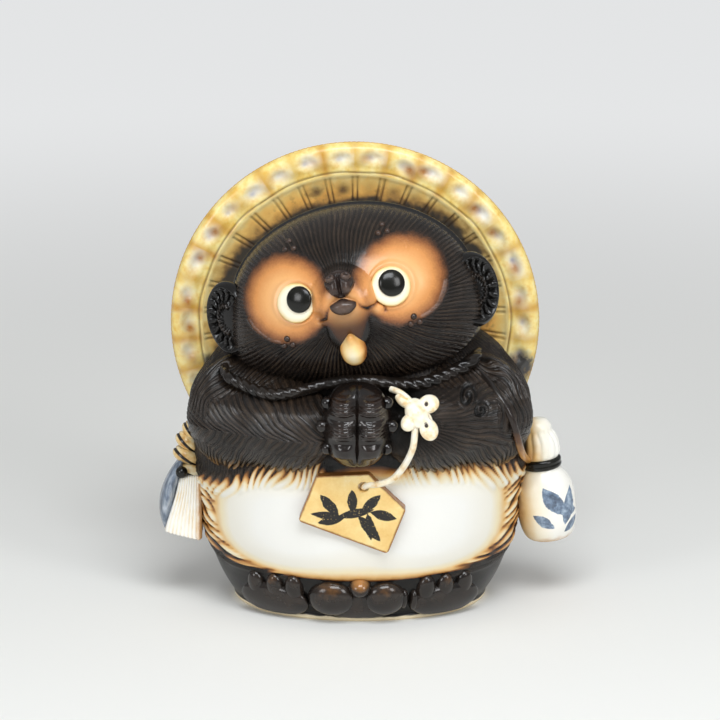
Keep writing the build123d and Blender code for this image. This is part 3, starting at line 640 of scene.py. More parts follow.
hat_glaze, shader, place = rippled_glaze("hat_glaze", gloss=0.5)
patch = place.cloud(3.2, 3.0)
loose = 0.45 + patch
reach_mark = place.mark("reach")
rim_tone = (patch * 0.7 + place.cloud(10) * 0.5).tones((0.42, tint(234, 192, 92)), (0.6, tint(245, 219, 132)),
                                                     (0.78, tint(249, 232, 164)))
rim_tone = (place.mark("between") * loose).blend(rim_tone, tint(204, 146, 50))
rim_tone = (place.mark("pool") * loose * 1.2).blend(rim_tone, tint(251, 247, 234))
rim_tone = (place.mark("core") * loose * 0.95).blend(rim_tone, tint(158, 160, 176))
rim_tone = (place.mark("smudge") * loose).blend(rim_tone, tint(166, 106, 40))
inner = (reach_mark + (place.cloud(6, 3.0) - 0.5) * 14).tones(
    (62, tint(238, 172, 90)), (70, tint(252, 192, 100)), (77, tint(253, 212, 126)), (81, tint(252, 228, 160)))
blotch = (place.cloud(4.2, 3.0) * 0.7 + place.cloud(11) * 0.4).fade(0.58, 0.72)
inner = (blotch * 0.6 * reach_mark.fade(79, 70)).blend(inner, tint(136, 104, 70))
inner = (place.mark("soot") * loose).blend(inner, tint(118, 92, 64))
near = place.mark("from_head") + (place.cloud(6, 3.0) - 0.5) * 0.2
inner = (near.fade(1.22, 1.09) * 0.6).blend(inner, tint(146, 112, 74))
inner = (near.fade(1.15, 1.06) * 0.95).blend(inner, tint(62, 62, 60))
fold_mark = place.mark("fold")
inner = (fold_mark * near.fade(1.4, 1.15) * 0.55 + fold_mark * 0.3).blend(inner, tint(70, 54, 42))
face_side = reach_mark.fade(79.6, 81.0).blend(inner, rim_tone)
# The painted highlight along the ridge, in pale cream.
face_side = (place.mark("ridge_bead") * 0.4).blend(face_side, tint(250, 230, 172))
face_side = (place.mark("ridge_line") * 0.8).blend(face_side, tint(92, 66, 38))
face_side = (place.mark("shoulder") * loose * 1.1).fade(0.25, 0.9).blend(face_side, tint(66, 64, 62))
back_straw = (place.mark("plait") * 0.7 + patch * 0.6).tones(
    (0.25, tint(118, 76, 32)), (0.65, tint(206, 156, 76)), (1.05, tint(238, 204, 130)))
place.mark("behind").fade(0.4, 0.6).blend(face_side, back_straw).onto(shader, "Base Color")
(0.16 + patch * 0.12 + reach_mark.fade(81, 79) * 0.16).onto(shader, "Roughness")
hat = set_in_place(hat_mesh, hat_glaze)
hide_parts("straw_hat")


# Ears: thick shells pressed by hand, hollowed in front and dotted with the tip of a tool.
# They are luted to the sides of the head, against the hat, and glazed dark.
ear_out, ear_forward, ear_turn = 62.5, 10, 38
ear_half_width, ear_half_depth, ear_half_height, ear_pellet_turn = 15, 8.5, 19.5, 21

for name, side, rise in (("left", 1, -6), ("right", -1, 1)):
    bm = round_form(300, 150)
    bmesh.ops.rotate(bm, verts=bm.verts, cent=(0, 0, 0), matrix=Matrix.Rotation(pi / 2, 3, "X"))
    bmesh.ops.scale(bm, verts=bm.verts, vec=(ear_half_width, ear_half_depth, ear_half_height))
    mesh = clay(bm, name + "_ear_shell")
    points = points_of(mesh)
    across, up = side * points[:, 0] / ear_half_width, points[:, 2] / ear_half_height
    reach, turn = np.hypot(across, up), np.degrees(np.arctan2(up, across))
    scooped = points[:, 1] < 0
    hollow = (1 - ease(reach, 0.66, 0.9)) * scooped
    outer = ease(turn, -105, -85) * (1 - ease(turn, 115, 135)) * scooped
    from_pellet = turn - ear_pellet_turn * np.round(turn / ear_pellet_turn)
    pellet = np.sqrt(np.clip(1 - ((reach - 0.66) / 0.18) ** 2 - (from_pellet / 9.5) ** 2, 0, 1)) * outer
    crest = bell(reach - 0.36 - 0.03 * np.cos(np.radians(turn) * 17), 0.055) * outer
    points[:, 1] += 5.6 * hollow - 2.6 * pellet - 2.2 * crest
    press(mesh, moved(points, head_place @ Matrix.Translation((side * ear_out, -ear_forward, rise))
                      @ Matrix.Rotation(radians(side * ear_turn), 4, "Z")), raised=0.5 * crest)
    ear = set_in_place(mesh, iron_glaze)
    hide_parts(name + "_ear")


# Eyes: low cream domes luted to the cheeks, with a black drop on each.
# The cream has a thin amber line where its glaze runs off the edge.
cream_eye, shader, place = rippled_glaze("cream_eye", 0.2, gloss=0.5)
own = place.node("Mapping", {"vector_type": "TEXTURE"},
                 {"Vector": place, "Location": head_middle, "Rotation": head_turn})
eye_x, _, eye_z = own.parts()
from_eye = ((abs(eye_x) - eye_out) ** 2 + (eye_z - eye_rise) ** 2) ** 0.5
(from_eye + (place.cloud(5) - 0.5) * 1.2).tones(
    (7.4, tint(250, 242, 220)), (9.0, tint(249, 234, 192)), (9.8, tint(240, 208, 134)),
    (10.4, tint(186, 128, 66))).onto(shader, "Base Color")
black_drop, shader, place = rippled_glaze("black_drop", 0.2, gloss=0.4)
place.cloud(6).tones((0.3, tint(10, 10, 8)), (0.7, tint(24, 23, 17))).onto(shader, "Base Color")
for name in ("left", "right"):
    glaze_solid(name + "_eye_white", cream_eye)
    glaze_solid(name + "_pupil", black_drop)


# Nose, lip, chin tuft and beads: small lumps of clay pressed onto the face before the firing.
# The nose has two bored nostrils and a groove between them, and the tuft is left cream under clear glaze.
def skin_frame(depth, x, z):
    """Frame on a skin whose depth is given over x and z, with its X level and its Z out of the skin."""
    out = Vector(((depth(x + 0.1, z) - depth(x - 0.1, z)) / 0.2, -1,
                  (depth(x, z + 0.1) - depth(x, z - 0.1)) / 0.2)).normalized()
    level = Vector((0, 0, 1)).cross(out).normalized()
    axes = Matrix((level, out.cross(level), out)).transposed().to_4x4()
    return Matrix.Translation((x, depth(x, z), z)) @ axes


def face_depth(x, z):
    """How far forward the face's skin lies, in the head's own frame."""
    plain = -head_half_depth * sqrt(1 - (x / head_half_width) ** 2 - (z / head_half_height) ** 2)
    return float(muzzle_over(np.array(x), np.array(plain), np.array(z)))


def on_face(x, z):
    return head_place @ skin_frame(face_depth, x, z)


def ball(half_width, half_height, half_depth, around=64, rings=48):
    """A stretched ball with its pole facing out of the skin."""
    bm = round_form(around, rings)
    bmesh.ops.scale(bm, verts=bm.verts, vec=(half_width, half_height, half_depth))
    return bm


mesh = clay(ball(7.8, 7.4, 6.2, 160, 120), "nose_lump")
points = points_of(mesh)
x, y, z = points.T
points[:, 0] *= 1 - 0.1 * ease(y, 0, 7) - 0.2 * ease(y, 1, -6.5)
nostril = np.exp(-(((np.abs(x) - 3.7) ** 2 + (y - 1.6) ** 2) / 6.5))
hole = np.exp(-(((np.abs(x) - 3.9) ** 2 + (y - 2.4) ** 2) / 1.1))
groove = bell(x, 0.8) * ease(y, 5, 1.5)
swirl = bell(np.hypot(np.abs(x) - 3.8, y - 1.8) - 2.7, 0.5)
wing = np.exp(-(((np.abs(x) - 3.4) ** 2 + (y + 4.4) ** 2) / 4.0))
raised = (2.4 * nostril - 2.8 * hole - 1.8 * groove - 0.8 * swirl + 1.1 * wing) * ease(z, 0, 2)
points += outward(mesh) * raised[:, None]
# The nose's tone: lighter on the nostril bumps and wings, darker in the bored holes, the groove and the
# swirl.
nostril_relief_tone = np.clip(nostril + 0.6 * wing - hole - groove - 0.5 * swirl, 0, 1)
press(mesh, moved(points, on_face(0, 13)), raised=nostril_relief_tone)
brown_lump, shader, place = rippled_glaze("brown_lump", 0.22, gloss=0.4)
(place.mark("raised") * 0.55 + place.cloud(4) * 0.6).tones(
    (0.2, tint(36, 27, 24)), (0.55, tint(68, 53, 46)), (0.95, tint(98, 80, 70))).onto(shader, "Base Color")
nose = set_in_place(mesh, brown_lump)
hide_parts("nose")

mesh = clay(ball(6.8, 4.2, 4.7, 96, 64), "lip_lump")
points = points_of(mesh)
x, y, z = points.T
points[:, 0] *= 1 - 0.45 * ease(y, 0.5, 4.2)
points[:, 1] += 0.8 * (np.abs(x) / 6.8) ** 2
press(mesh, moved(points, on_face(0, 1.6)), raised=ease(z, 1, 5))
lip = set_in_place(mesh, brown_lump)
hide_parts("lower_lip")

mesh = clay(ball(6.6, 12.2, 7.0, 96, 64), "tuft_drop")
points = points_of(mesh)
x, y, _ = points.T
points[:, 0] *= 1 - 0.5 * ease(y, 0, 10) + 0.06 * ease(y, 0, -6)
points[:, 2] *= 1 - 0.3 * ease(y, 1, 10)
press(mesh, moved(points, on_face(0.3, -20.8)), rim=np.hypot(x / 6.6 + 0.1, (y - 2.0) / 11.5))
tuft_glaze, shader, place = rippled_glaze("tuft_glaze", 0.2, gloss=0.5)
(place.mark("rim") + (place.cloud(5) - 0.5) * 0.3).tones(
    (0.15, tint(252, 238, 204)), (0.5, tint(250, 220, 156)), (0.8, tint(230, 172, 98)),
    (1.02, tint(156, 98, 48))).onto(shader, "Base Color")
tuft = set_in_place(mesh, tuft_glaze)
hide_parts("chin_tuft")

bead_glaze, shader, place = rippled_glaze("bead_glaze", 0.18, gloss=0.5)
place.cloud(5).tones((0.3, tint(30, 23, 19)), (0.7, tint(70, 48, 35))).onto(shader, "Base Color")
for name in ("brow_beads", "cheek_beads"):
    glaze_solid(name, bead_glaze)


# Arms: round elbows and forearms pressed from slabs, luted to the trunk and combed while wet.
# The dark glaze stops short of the fringe along their lower edge, which shows cream and amber.
elbow_out, elbow_y, elbow_height, elbow_halves = 59.5, -28, 105, (29, 26, 25)
forearm_out, forearm_y, forearm_height, forearm_halves, forearm_turn = 43, -45.5, 107, (38, 20, 23), 35


def reach_of(start, directions, middle, halves, turn=0.0):
    """How far lines from a start run to the far skin of a stretched ball, and -1 where they miss it."""
    back = np.array(Matrix.Rotation(-radians(turn), 3, "Z"))
    first = (back @ (np.array(start, float) - middle)) / halves
    lines = (np.array(directions, float) @ back.T) / halves
    a, b, c = (lines**2).sum(1), (lines * first).sum(1), (first**2).sum() - 1
    inside = b * b - a * c
    return np.where(inside < 0, -1, (-b + np.sqrt(np.maximum(inside, 0))) / a)


def arm_reach(side, start, directions):
    """How far lines from a start run to the skin of the elbow, and to that of the forearm."""
    elbow_middle = (side * elbow_out, elbow_y, elbow_height)
    forearm_middle = (side * forearm_out, forearm_y, forearm_height)
    elbow = reach_of(start, directions, elbow_middle, elbow_halves)
    return elbow, reach_of(start, directions, forearm_middle, forearm_halves, side * forearm_turn)


arm_glaze, shader, place = new_glaze("arm_glaze")
tip = place.mark("tip") + (place.cloud(3.5) - 0.5) * 0.3
fringe = tip.tones((0.3, tint(54, 43, 27)), (0.55, tint(106, 78, 42)), (0.8, tint(188, 138, 76)),
                   (1.0, tint(238, 212, 158)))
tip.fade(0.15, 0.45).blend(iron_tone(place, place.mark("raised")), fringe).onto(shader, "Base Color")
(0.17 + place.cloud(16) * 0.12).onto(shader, "Roughness")
fur_skin(place, 1.0).onto(shader, "Normal")

for name, side in (("left", 1), ("right", -1)):
    middle = np.array((side * 50.0, -38.0, 106.0))
    bm = round_form(400, 220)
    bmesh.ops.rotate(bm, verts=bm.verts, cent=(0, 0, 0), matrix=Matrix.Rotation(pi / 2, 3, "Y"))
    mesh = clay(bm, name + "_fur_arm")
    unit = points_of(mesh)
    elbow, forearm = arm_reach(side, middle, unit)
    points = middle + unit * ((elbow**9 + forearm**9) ** (1 / 9))[:, None]
    points[:, 2] += 0.3 * np.maximum(points[:, 2] - 108, 0) * ease(np.abs(points[:, 0]), 30, 50)
    x, y, z = points.T
    half_width = smooth_line(trunk_heights, trunk_half_widths, z)
    half_depth = smooth_line(trunk_heights, trunk_half_depths, z)
    skin = -half_depth * np.sqrt(np.clip(1 - (x / half_width) ** 2, 0, 1))
    points[:, 1] += ((skin - 0.6 - y) * ease(z, 116, 137) * (y < skin - 0.6)
                     * ease(half_width - np.abs(x), -2, 14))
    press(mesh, points)
    turn, toward, above = np.arctan2(np.abs(y) / half_depth, x / half_width), -side * x, z - 104
    round_elbow = x + side * 0.9 * np.maximum(y + 46, 0) * ease(np.abs(x), 64, 80)
    shoulder = turn * 70 / pi + 0.4 * np.sin(z / 6 + turn * 5) + 0.25 * np.sin(z / 2.7 - turn * 11)
    wave = 0.22 * np.sin(x / 9 + z / 14) + 0.14 * np.sin(z / 3.1 - x / 4.3) + 0.1 * np.sin(x / 1.9 + z / 2.3)
    if side < 0:
        spread = np.where(above > 0, 14 * (1 - np.exp(-np.maximum(above, 0) / 7)) + 0.4 * above, -0.7 * above)
        lay = (toward + spread) / 4.0 + wave
        high = np.maximum(ease(z - 0.3 * (x + 60), 119, 127), ease(-x, 72, 82) * ease(z, 104, 114))
        sharp, curl = 1.0, 0.0
    else:
        from_bow = np.hypot(x - 22, z - 116)
        lay = np.arctan2(z - 116, x - 22) * 13 + wave
        high = np.maximum(ease(z, 122, 130), ease(x, 66, 74) * ease(z, 98, 108))
        sharp, curl = ease(from_bow, 9, 20), 0.0
        for spot_x, spot_z, size in ((54.5, 122.5, 4.6), (61.5, 116, 3.8)):
            off, angle = np.hypot(x - spot_x, z - spot_z), np.arctan2(z - spot_z, x - spot_x)
            curl = curl + np.cos(off * 2.1 + angle) * np.exp(-((off / size) ** 4)) * (y < skin)
            sharp = sharp * (1 - np.exp(-((off / size) ** 4)))
    hang = (round_elbow + 0.6 * side * z) / 3.3 + wave
    low = ease(z, 99, 93)
    lock = combed(hang)
    fur = (strands(lay) * (1 - high) + strands(shoulder) * high) * (1 - low) * sharp + lock * low
    end = ease(z, 95, 84)
    points += outward(mesh) * (1.05 * fur + 0.8 * lock * end + 1.0 * curl)[:, None]
    points[:, 2] -= 1.6 * lock * end
    lay = np.where(low > 0.5, hang, np.where(high > 0.5, shoulder, lay))
    press(mesh, points, raised=fur + 0.4 * curl, lay=lay, tip=ease(z, 95, 82) * (0.2 + 0.5 * lock))
    arm = set_in_place(mesh, arm_glaze)
    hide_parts(name + "_arm")


# Paws: the two palms are pressed together, each with a stack of bent fingers scored across.
# They are luted between the forearms under the chin, with beads of clay for the finger ends.
paw_x, paw_forward, paw_height, paw_halves, finger_pitch = -1.5, 68, 112.2, (17.8, 13, 22.2), 11.7

paw_glaze, shader, place = rippled_glaze("paw_glaze", gloss=0.55)
(place.mark("raised") * 0.6 + place.cloud(9) * 0.7).tones(
    (0.3, tint(20, 16, 14)), (0.8, tint(40, 29, 23)), (1.15, tint(64, 45, 32))).onto(shader, "Base Color")
(0.1 + place.cloud(9) * 0.1).onto(shader, "Roughness")

for name, side in (("left", 1), ("right", -1)):
    glaze_solid(name + "_fingertips", paw_glaze)
    mesh = clay(round_form(300, 200), name + "_hand")
    points = points_of(mesh)
    points /= (np.abs(points) ** 2.3).sum(1)[:, None] ** (1 / 2.3)
    points *= paw_halves
    across = np.maximum(side * points[:, 0], 0)
    y, z = points[:, 1], points[:, 2]
    facing = ease(y, 0, -6)
    y = y + 0.8 * bell(across, 0.5) * facing
    bulge = np.exp(-(np.abs((across - 7.6) / 5.6) ** 3)) * np.array(
        [np.exp(-(np.abs((z - number * finger_pitch) / 5.0) ** 2.8)) for number in (-1, 0, 1)])
    wrinkle = np.abs(np.cos(pi * (z - 0.02 * (across - 8) ** 2) / 2.1)) * (bulge[1] + bulge[2])
    y = y - (4.2 * bulge.sum(0) + 0.75 * wrinkle) * facing
    press(mesh, np.stack((paw_x + side * across, y - paw_forward, z + paw_height), 1),
          raised=(0.35 * bulge.sum(0) + 0.6 * wrinkle) * facing)
    paw = set_in_place(mesh, paw_glaze)
    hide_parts(name + "_paw")


# Feet, money bag and tail: lumps luted low on the trunk, rounded with a wet finger.
# The dark glaze is thinned by wiping on their tops and shows amber there; that amber on the tops and fronts
# is also a painted highlight.
lump_floor, tail_height, tail_floor = 2.4, 34, 0.4


def trunk_depth(x, z):
    """How far forward the trunk's skin lies."""
    half_width = float(smooth_line(trunk_heights, trunk_half_widths, [z])[0])
    return -float(smooth_line(trunk_heights, trunk_half_depths, [z])[0]) * sqrt(1 - (x / half_width) ** 2)


def on_trunk(x, z):
    return skin_frame(trunk_depth, x, z)


wiped_glaze, shader, place = rippled_glaze("wiped_glaze", gloss=0.5)
# Amber where the mark is high: glaze thinned by wiping, and also a painted highlight on the lumps' tops and
# fronts.
wiped = (place.mark("wiped") + (place.cloud(3) - 0.5) * 0.5).fade(0.8, 1.7)
dark = place.cloud(8).tones((0.3, tint(24, 20, 18)), (0.7, tint(48, 39, 33)))
wiped.blend(dark, tint(172, 118, 62)).onto(shader, "Base Color")
(0.12 + place.cloud(7) * 0.12).onto(shader, "Roughness")


def lump_group(name, lumps):
    """Balls on the trunk's skin, each with its x and z, its half sizes and its share of amber on top and
    front, from wiping and as a painted highlight.
    """
    bm = bmesh.new()
    shares = {}
    for x, z, half_width, half_height, half_depth, share in lumps:
        made = bmesh.ops.create_uvsphere(bm, u_segments=64, v_segments=48, radius=1)
        for vertex in made["verts"]:
            # More amber towards the top and front of each ball: thinned glaze and a painted highlight.
            shares[vertex] = share * (0.8 * vertex.co.y + 0.5 * vertex.co.z)
        bmesh.ops.scale(bm, verts=made["verts"], vec=(half_width, half_height, half_depth))
        bmesh.ops.transform(bm, verts=made["verts"], matrix=on_trunk(x, z))
    for vertex in bm.verts:
        vertex.co.z = max(vertex.co.z, lump_floor)
    wiped = [shares[vertex] for vertex in bm.verts]
    mesh = bpy.data.meshes.new(name)
    bm.to_mesh(mesh)
    bm.free()
    press(mesh, points_of(mesh), wiped=wiped)
    return mesh


for name, side in (("left", 1), ("right", -1)):
    toes = [(side * (34 + 9.6 * number), 17.6 - 0.2 * number, 5.2, 8.4, 4.2, (0.9, 1.05, 0.6)[number])
            for number in range(3)]
    toes.append((side * 44, 10, 20, 10.5, 5.2, 0.0))
    if side > 0:
        toes += [(22.4, 13, 2.4, 6.0, 4.2, 0.0), (27.4, 12, 2.6, 6.4, 4.4, 0.0)]
    foot = set_in_place(lump_group(name + "_toes", toes), wiped_glaze)
    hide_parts(name + "_foot")
bag = set_in_place(lump_group("bag_lobes", [(-14.6, 14, 12.4, 10.2, 7.0, 1.1), (12.8, 14, 11, 10, 6.6, 1.0),
                                            (0, 9.4, 20, 9, 4, 0.0)]), wiped_glaze)
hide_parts("money_bag")
knob = set_in_place(lump_group("bag_knot", [(0, 21, 6.0, 5.0, 6.4, 1.6)]), wiped_glaze)
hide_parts("money_bag_knob")

mesh = clay(ball(19, 31, 14, 200, 140), "tail_brush")
points = points_of(mesh)
x, y, z = points.T
strokes = strands(x / 3.4 * (1 + 0.35 * ease(y, 5, 31)) + 0.4 * np.sin(y / 6))
points += outward(mesh) * (0.9 * strokes * ease(np.abs(z), 0.5, 3))[:, None]
tail_seat = float(smooth_line(trunk_heights, trunk_half_depths, [tail_height])[0])
tail_lean = radians(14)
about_tail = [tail_height - 0.5, tail_height + 0.5]
slope = float(np.diff(smooth_line(trunk_heights, trunk_half_depths, about_tail))[0])
out = Vector((0, 1, -slope)).normalized()
level = Vector((0, 0, 1)).cross(out).normalized()
tail_axes = Matrix((level, out.cross(level), out)).transposed().to_4x4()
tail_place = (Matrix.Translation((0, tail_seat, tail_height)) @ tail_axes
              @ Matrix.Rotation(tail_lean, 4, "X"))
points = moved(points, tail_place)
points[:, 2] = np.maximum(points[:, 2], tail_floor)
press(mesh, points, raised=strokes)
tail = set_in_place(mesh, iron_glaze)
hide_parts("tail")


# Wish plaque, cord and bow: a cut tile on a rolled cord of clay, tied in a bow over the wrist.
# The tile is glazed yellow with a sprig of leaves brushed on in black, and the cord is glazed cream.
plaque_x, plaque_height, plaque_turn, eyelet_drop = -4, 63, -21, 7.5
cord_radius, strand_radius = 1.75, 1.6
plaque_place = on_trunk(plaque_x, plaque_height) @ Matrix.Rotation(radians(plaque_turn), 4, "Z")
plaque_half_width, plaque_foot, plaque_apex, plaque_gable = 24.5, -13, 24, 11
sprig = [((-20, -7), 14, 18, 2.2), ((-7, -4), 34, 20, 2.4), ((-6, -3), 150, 15, 2.8),
         ((-3, -3), 212, 14, 2.4), ((0, 1), 112, 13, 2.6), ((3, 1), -30, 18, 2.9),
         ((4, 3), 66, 14, 2.6), ((8, 5), 6, 14, 2.7), ((7, 4), -62, 15, 2.5)]


def brushed_leaf(across, up, start, angle, length, half_width):
    """A leaf laid with one stroke of the brush: 1 inside it and 0 outside."""
    level, rise = cos(radians(angle)), sin(radians(angle))
    run = ((across - start[0]) * level + (up - start[1]) * rise) / length
    off = (up - start[1]) * level - (across - start[0]) * rise
    return (run * (1 - run) * (4 * half_width) - abs(off)).fade(-0.2, 0.25)


def brushed_leaves(across, up, leaves):
    """All the leaves of a brushed sprig together."""
    painted = brushed_leaf(across, up, *leaves[0])
    for leaf in leaves[1:]:
        painted = painted.most(brushed_leaf(across, up, *leaf))
    return painted


plaque_glaze, shader, place = new_glaze("plaque_glaze", 0.24, gloss=0.5)
own = place.node("Mapping", {"vector_type": "TEXTURE"},
                 {"Vector": place, "Location": plaque_place.translation, "Rotation": plaque_place.to_euler()})
across, up, _ = own.parts()
slip = (place.cloud(12) * 0.8 + place.cloud(1.2, 4.0) * 0.2).tones(
    (0.3, tint(230, 188, 112)), (0.55, tint(242, 210, 140)), (0.75, tint(247, 226, 172)))
roof = (plaque_apex - abs(across) * (plaque_gable / plaque_half_width) - up) * 0.91
inset = (plaque_half_width - abs(across)).least(up - plaque_foot).least(roof)
slip = (inset + (place.cloud(4) - 0.5) * 1.2).fade(1.3, 0.1).blend(slip, tint(142, 92, 44))
shaky = (place.cloud(2.2, 4.0) - 0.5) * 1.0
ink = brushed_leaves(across + shaky, up + shaky, sprig)
dry = (place.cloud(0.8, 3.0) + 0.35).fade(0.55, 0.75)
(ink * dry).blend(slip, tint(26, 23, 21)).onto(shader, "Base Color")
(ink * 0.5 + place.cloud(2.6, 2.0) * 0.5).bump(0.1).onto(shader, "Normal")
glaze_solid("wish_plaque", plaque_glaze)

cord_glaze, shader, place = rippled_glaze("cord_glaze", 0.2, gloss=0.5)
cream = place.cloud(5).tones((0.28, tint(228, 192, 132)), (0.46, tint(246, 234, 206)),
                             (0.7, tint(250, 245, 232)))
(place.mark("dot") + (place.cloud(2) - 0.5) * 0.3).fade(0.35, 0.75).blend(cream, tint(52, 38, 30)).onto(
    shader, "Base Color")


def rolled_cord(name, points, radius):
    """A cord of clay rolled between the hands and laid along the points."""
    line = bpy.data.curves.new(name, "CURVE")
    line.dimensions, line.resolution_u = "3D", 10
    run = line.splines.new("NURBS")
    run.points.add(len(points) - 1)
    for point, place in zip(run.points, points):
        point.co = (*place, 1)
    run.order_u, run.use_endpoint_u = 3, True
    line.bevel_depth, line.bevel_resolution, line.use_fill_caps = radius, 7, True
    laid = bpy.data.objects.new(name, line)
    mesh = bpy.data.meshes.new_from_object(laid)
    bpy.data.objects.remove(laid)
    bpy.data.curves.remove(line)
    return mesh


def arm_depth(x, z):
    """How far forward the left arm's skin lies."""
    return -max(float(part[0]) for part in arm_reach(1, (x, 0, z), [(0, -1, 0)]))


bow_x, bow_height = 28.5, 119
bow_place = skin_frame(arm_depth, bow_x, bow_height)
bow_lumps = [(0, -1.0, 1.0, 5.8, 8.2, 3.3, 14), (6.2, 3.8, 1.0, 5.5, 4.9, 2.5, 25),
             (6.0, -9.8, 0.8, 4.7, 6.0, 2.4, 14), (-4.0, -6.0, 0.9, 4.0, 4.8, 2.4, -25),
             (-6.0, 5.4, 0.9, 5.4, 3.0, 2.0, -38), (3.4, -4.6, 0.9, 4.4, 5.2, 2.4, 25)]
bow_dots = [(4.8, 3.2), (4.6, -8.0), (7.4, -3.0)]
bm = bmesh.new()
for x, y, z, half_width, half_height, half_depth, tilt in bow_lumps:
    made = bmesh.ops.create_uvsphere(bm, u_segments=64, v_segments=48, radius=1)
    bmesh.ops.scale(bm, verts=made["verts"], vec=(half_width, half_height, half_depth))
    bmesh.ops.rotate(bm, verts=made["verts"], cent=(0, 0, 0), matrix=Matrix.Rotation(radians(tilt), 3, "Z"))
    bmesh.ops.translate(bm, verts=made["verts"], vec=(x, y, z))
mesh = clay(bm, "bow_knot")
points = points_of(mesh)
dot = np.max([np.exp(-(((points[:, 0] - x) ** 2 + 0.6 * (points[:, 1] - y) ** 2) / 1.9))
              for x, y in bow_dots], 0)
points -= outward(mesh) * (1.3 * dot * (points[:, 2] > 1))[:, None]
press(mesh, moved(points, bow_place), dot=dot * (points[:, 2] > 1))
bow = set_in_place(mesh, cord_glaze)
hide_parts("cord_bow")
strand_spots = ((-1.5, 3.5, 1.5), (-6, 8.6, 1.6), (-10, 11.4, 0.6), (-12.6, 12.8, -1.2))
strand_run = [bow_place @ Vector(spot) for spot in strand_spots]
mesh = rolled_cord("wrist_strand", strand_run, strand_radius)
press(mesh, points_of(mesh), dot=np.zeros(len(mesh.vertices)))
wrist_strand = set_in_place(mesh, cord_glaze)
eyelet = plaque_place @ Vector((0, plaque_apex - eyelet_drop, 2.4))
cord_run = [bow_place @ Vector((-0.5, -3, 1.5)), (27.6, -74.0, 104.5), (25.6, -72.5, 97.5), (21.6, -69, 89),
            (16.4, -66, 82), (9.5, -65, 79.5), eyelet + Vector((1.5, -1.2, 1.2)),
            eyelet + Vector((0, 2.5, -1.5))]
mesh = rolled_cord("hanging_cord", cord_run, cord_radius)
press(mesh, points_of(mesh), dot=np.zeros(len(mesh.vertices)))
cord = set_in_place(mesh, cord_glaze)
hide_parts("plaque_cord")


# Flask: a turned bottle luted to the hip, with a paper cap tied over its mouth, all in stoneware.
# It is white with brushed blue leaves, shaded amber towards the body, and its tie and strap are dark.
flask_place = Matrix.Translation((100, -4, 32)) @ Matrix.Rotation(radians(-7), 4, "Y")
flask_side = [(0, 0), (8.4, 0), (10.4, 0.5), (12.4, 2.2), (13.9, 5.6), (15.0, 10.5), (15.6, 17), (15.6, 23),
              (15.0, 28), (13.7, 32), (12.0, 35), (10.3, 37.2), (9.4, 38.8), (9.2, 41), (0, 41)]
tie_side = [(0, 38.6), (9.2, 38.6), (10.2, 39.2), (10.6, 40.6), (10.3, 41.5), (10.6, 42.4), (10.2, 43.8),
            (9.2, 44.4), (0, 44.4)]
cap_side = [(0, 43.8), (8.8, 43.8), (9.8, 45.2), (10.4, 48), (10.3, 51.5), (9.4, 55), (8.6, 57.0),
            (7.8, 58.2), (7.5, 59.3), (7.5, 60.8), (6.8, 62.6), (5.2, 64.4), (2.9, 65.3), (0, 65.5)]
blue_leaves = [((-24, 31), -58, 19, 4.2), ((-7, 29), -110, 21, 3.8), ((-19, 19), -14, 15, 3.3),
               ((-30, 17), -40, 13, 2.8), ((-3, 12), -150, 13, 2.6), ((6, 30), -95, 18, 3.4)]
strap_radius = 1.9


def wheel_side(outline, count):
    """The outline with points added along it, rounded through its corners."""
    outline = np.array(outline, float)
    reach = np.concatenate([[0], np.cumsum(np.hypot(*np.diff(outline, axis=0).T))])
    spots = np.linspace(0, reach[-1], count)
    radii, heights = smooth_line(reach, outline[:, 0], spots), smooth_line(reach, outline[:, 1], spots)
    radii = np.maximum(radii, 0)
    radii[0] = radii[-1] = 0
    return list(zip(radii, heights))


def flask_own(place):
    """The place in the flask's own frame: round its axis from the front, up it, and out from the trunk."""
    own = place.node("Mapping", {"vector_type": "TEXTURE"}, {
        "Vector": place, "Location": flask_place.translation, "Rotation": flask_place.to_euler()})
    x, y, z = own.parts()
    return place.math("ARCTAN2", y, x) * 14.5, z, x


flask_glaze, shader, place = rippled_glaze("flask_glaze", 0.18, gloss=0.5)
around, up, out = flask_own(place)
body_tone = (out + (place.cloud(9) - 0.5) * 7).tones(
    (-16, tint(200, 148, 86)), (-12.5, tint(238, 206, 150)), (-6, tint(246, 235, 210)),
    (3, tint(247, 244, 236)))
body_tone = (up + (place.cloud(5) - 0.5) * 4).fade(4, -1).blend(body_tone, tint(206, 156, 92))
shaky = (place.cloud(3.5, 3.0) - 0.5) * 1.6
blue = brushed_leaves(around + shaky, up + shaky, blue_leaves)
stroke = (place.cloud(4, 2.0) * 0.7 + place.cloud(0.9, 4.0) * 0.3).tones(
    (0.34, tint(58, 74, 98)), (0.52, tint(104, 126, 152)), (0.68, tint(164, 182, 200)))
(blue * 0.95).blend(body_tone, stroke).onto(shader, "Base Color")
bm = turned(wheel_side(flask_side, 70), 120)
bmesh.ops.transform(bm, verts=bm.verts, matrix=flask_place)
flask = set_in_place(clay(bm, "flask_bottle"), flask_glaze)
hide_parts("flask_body")

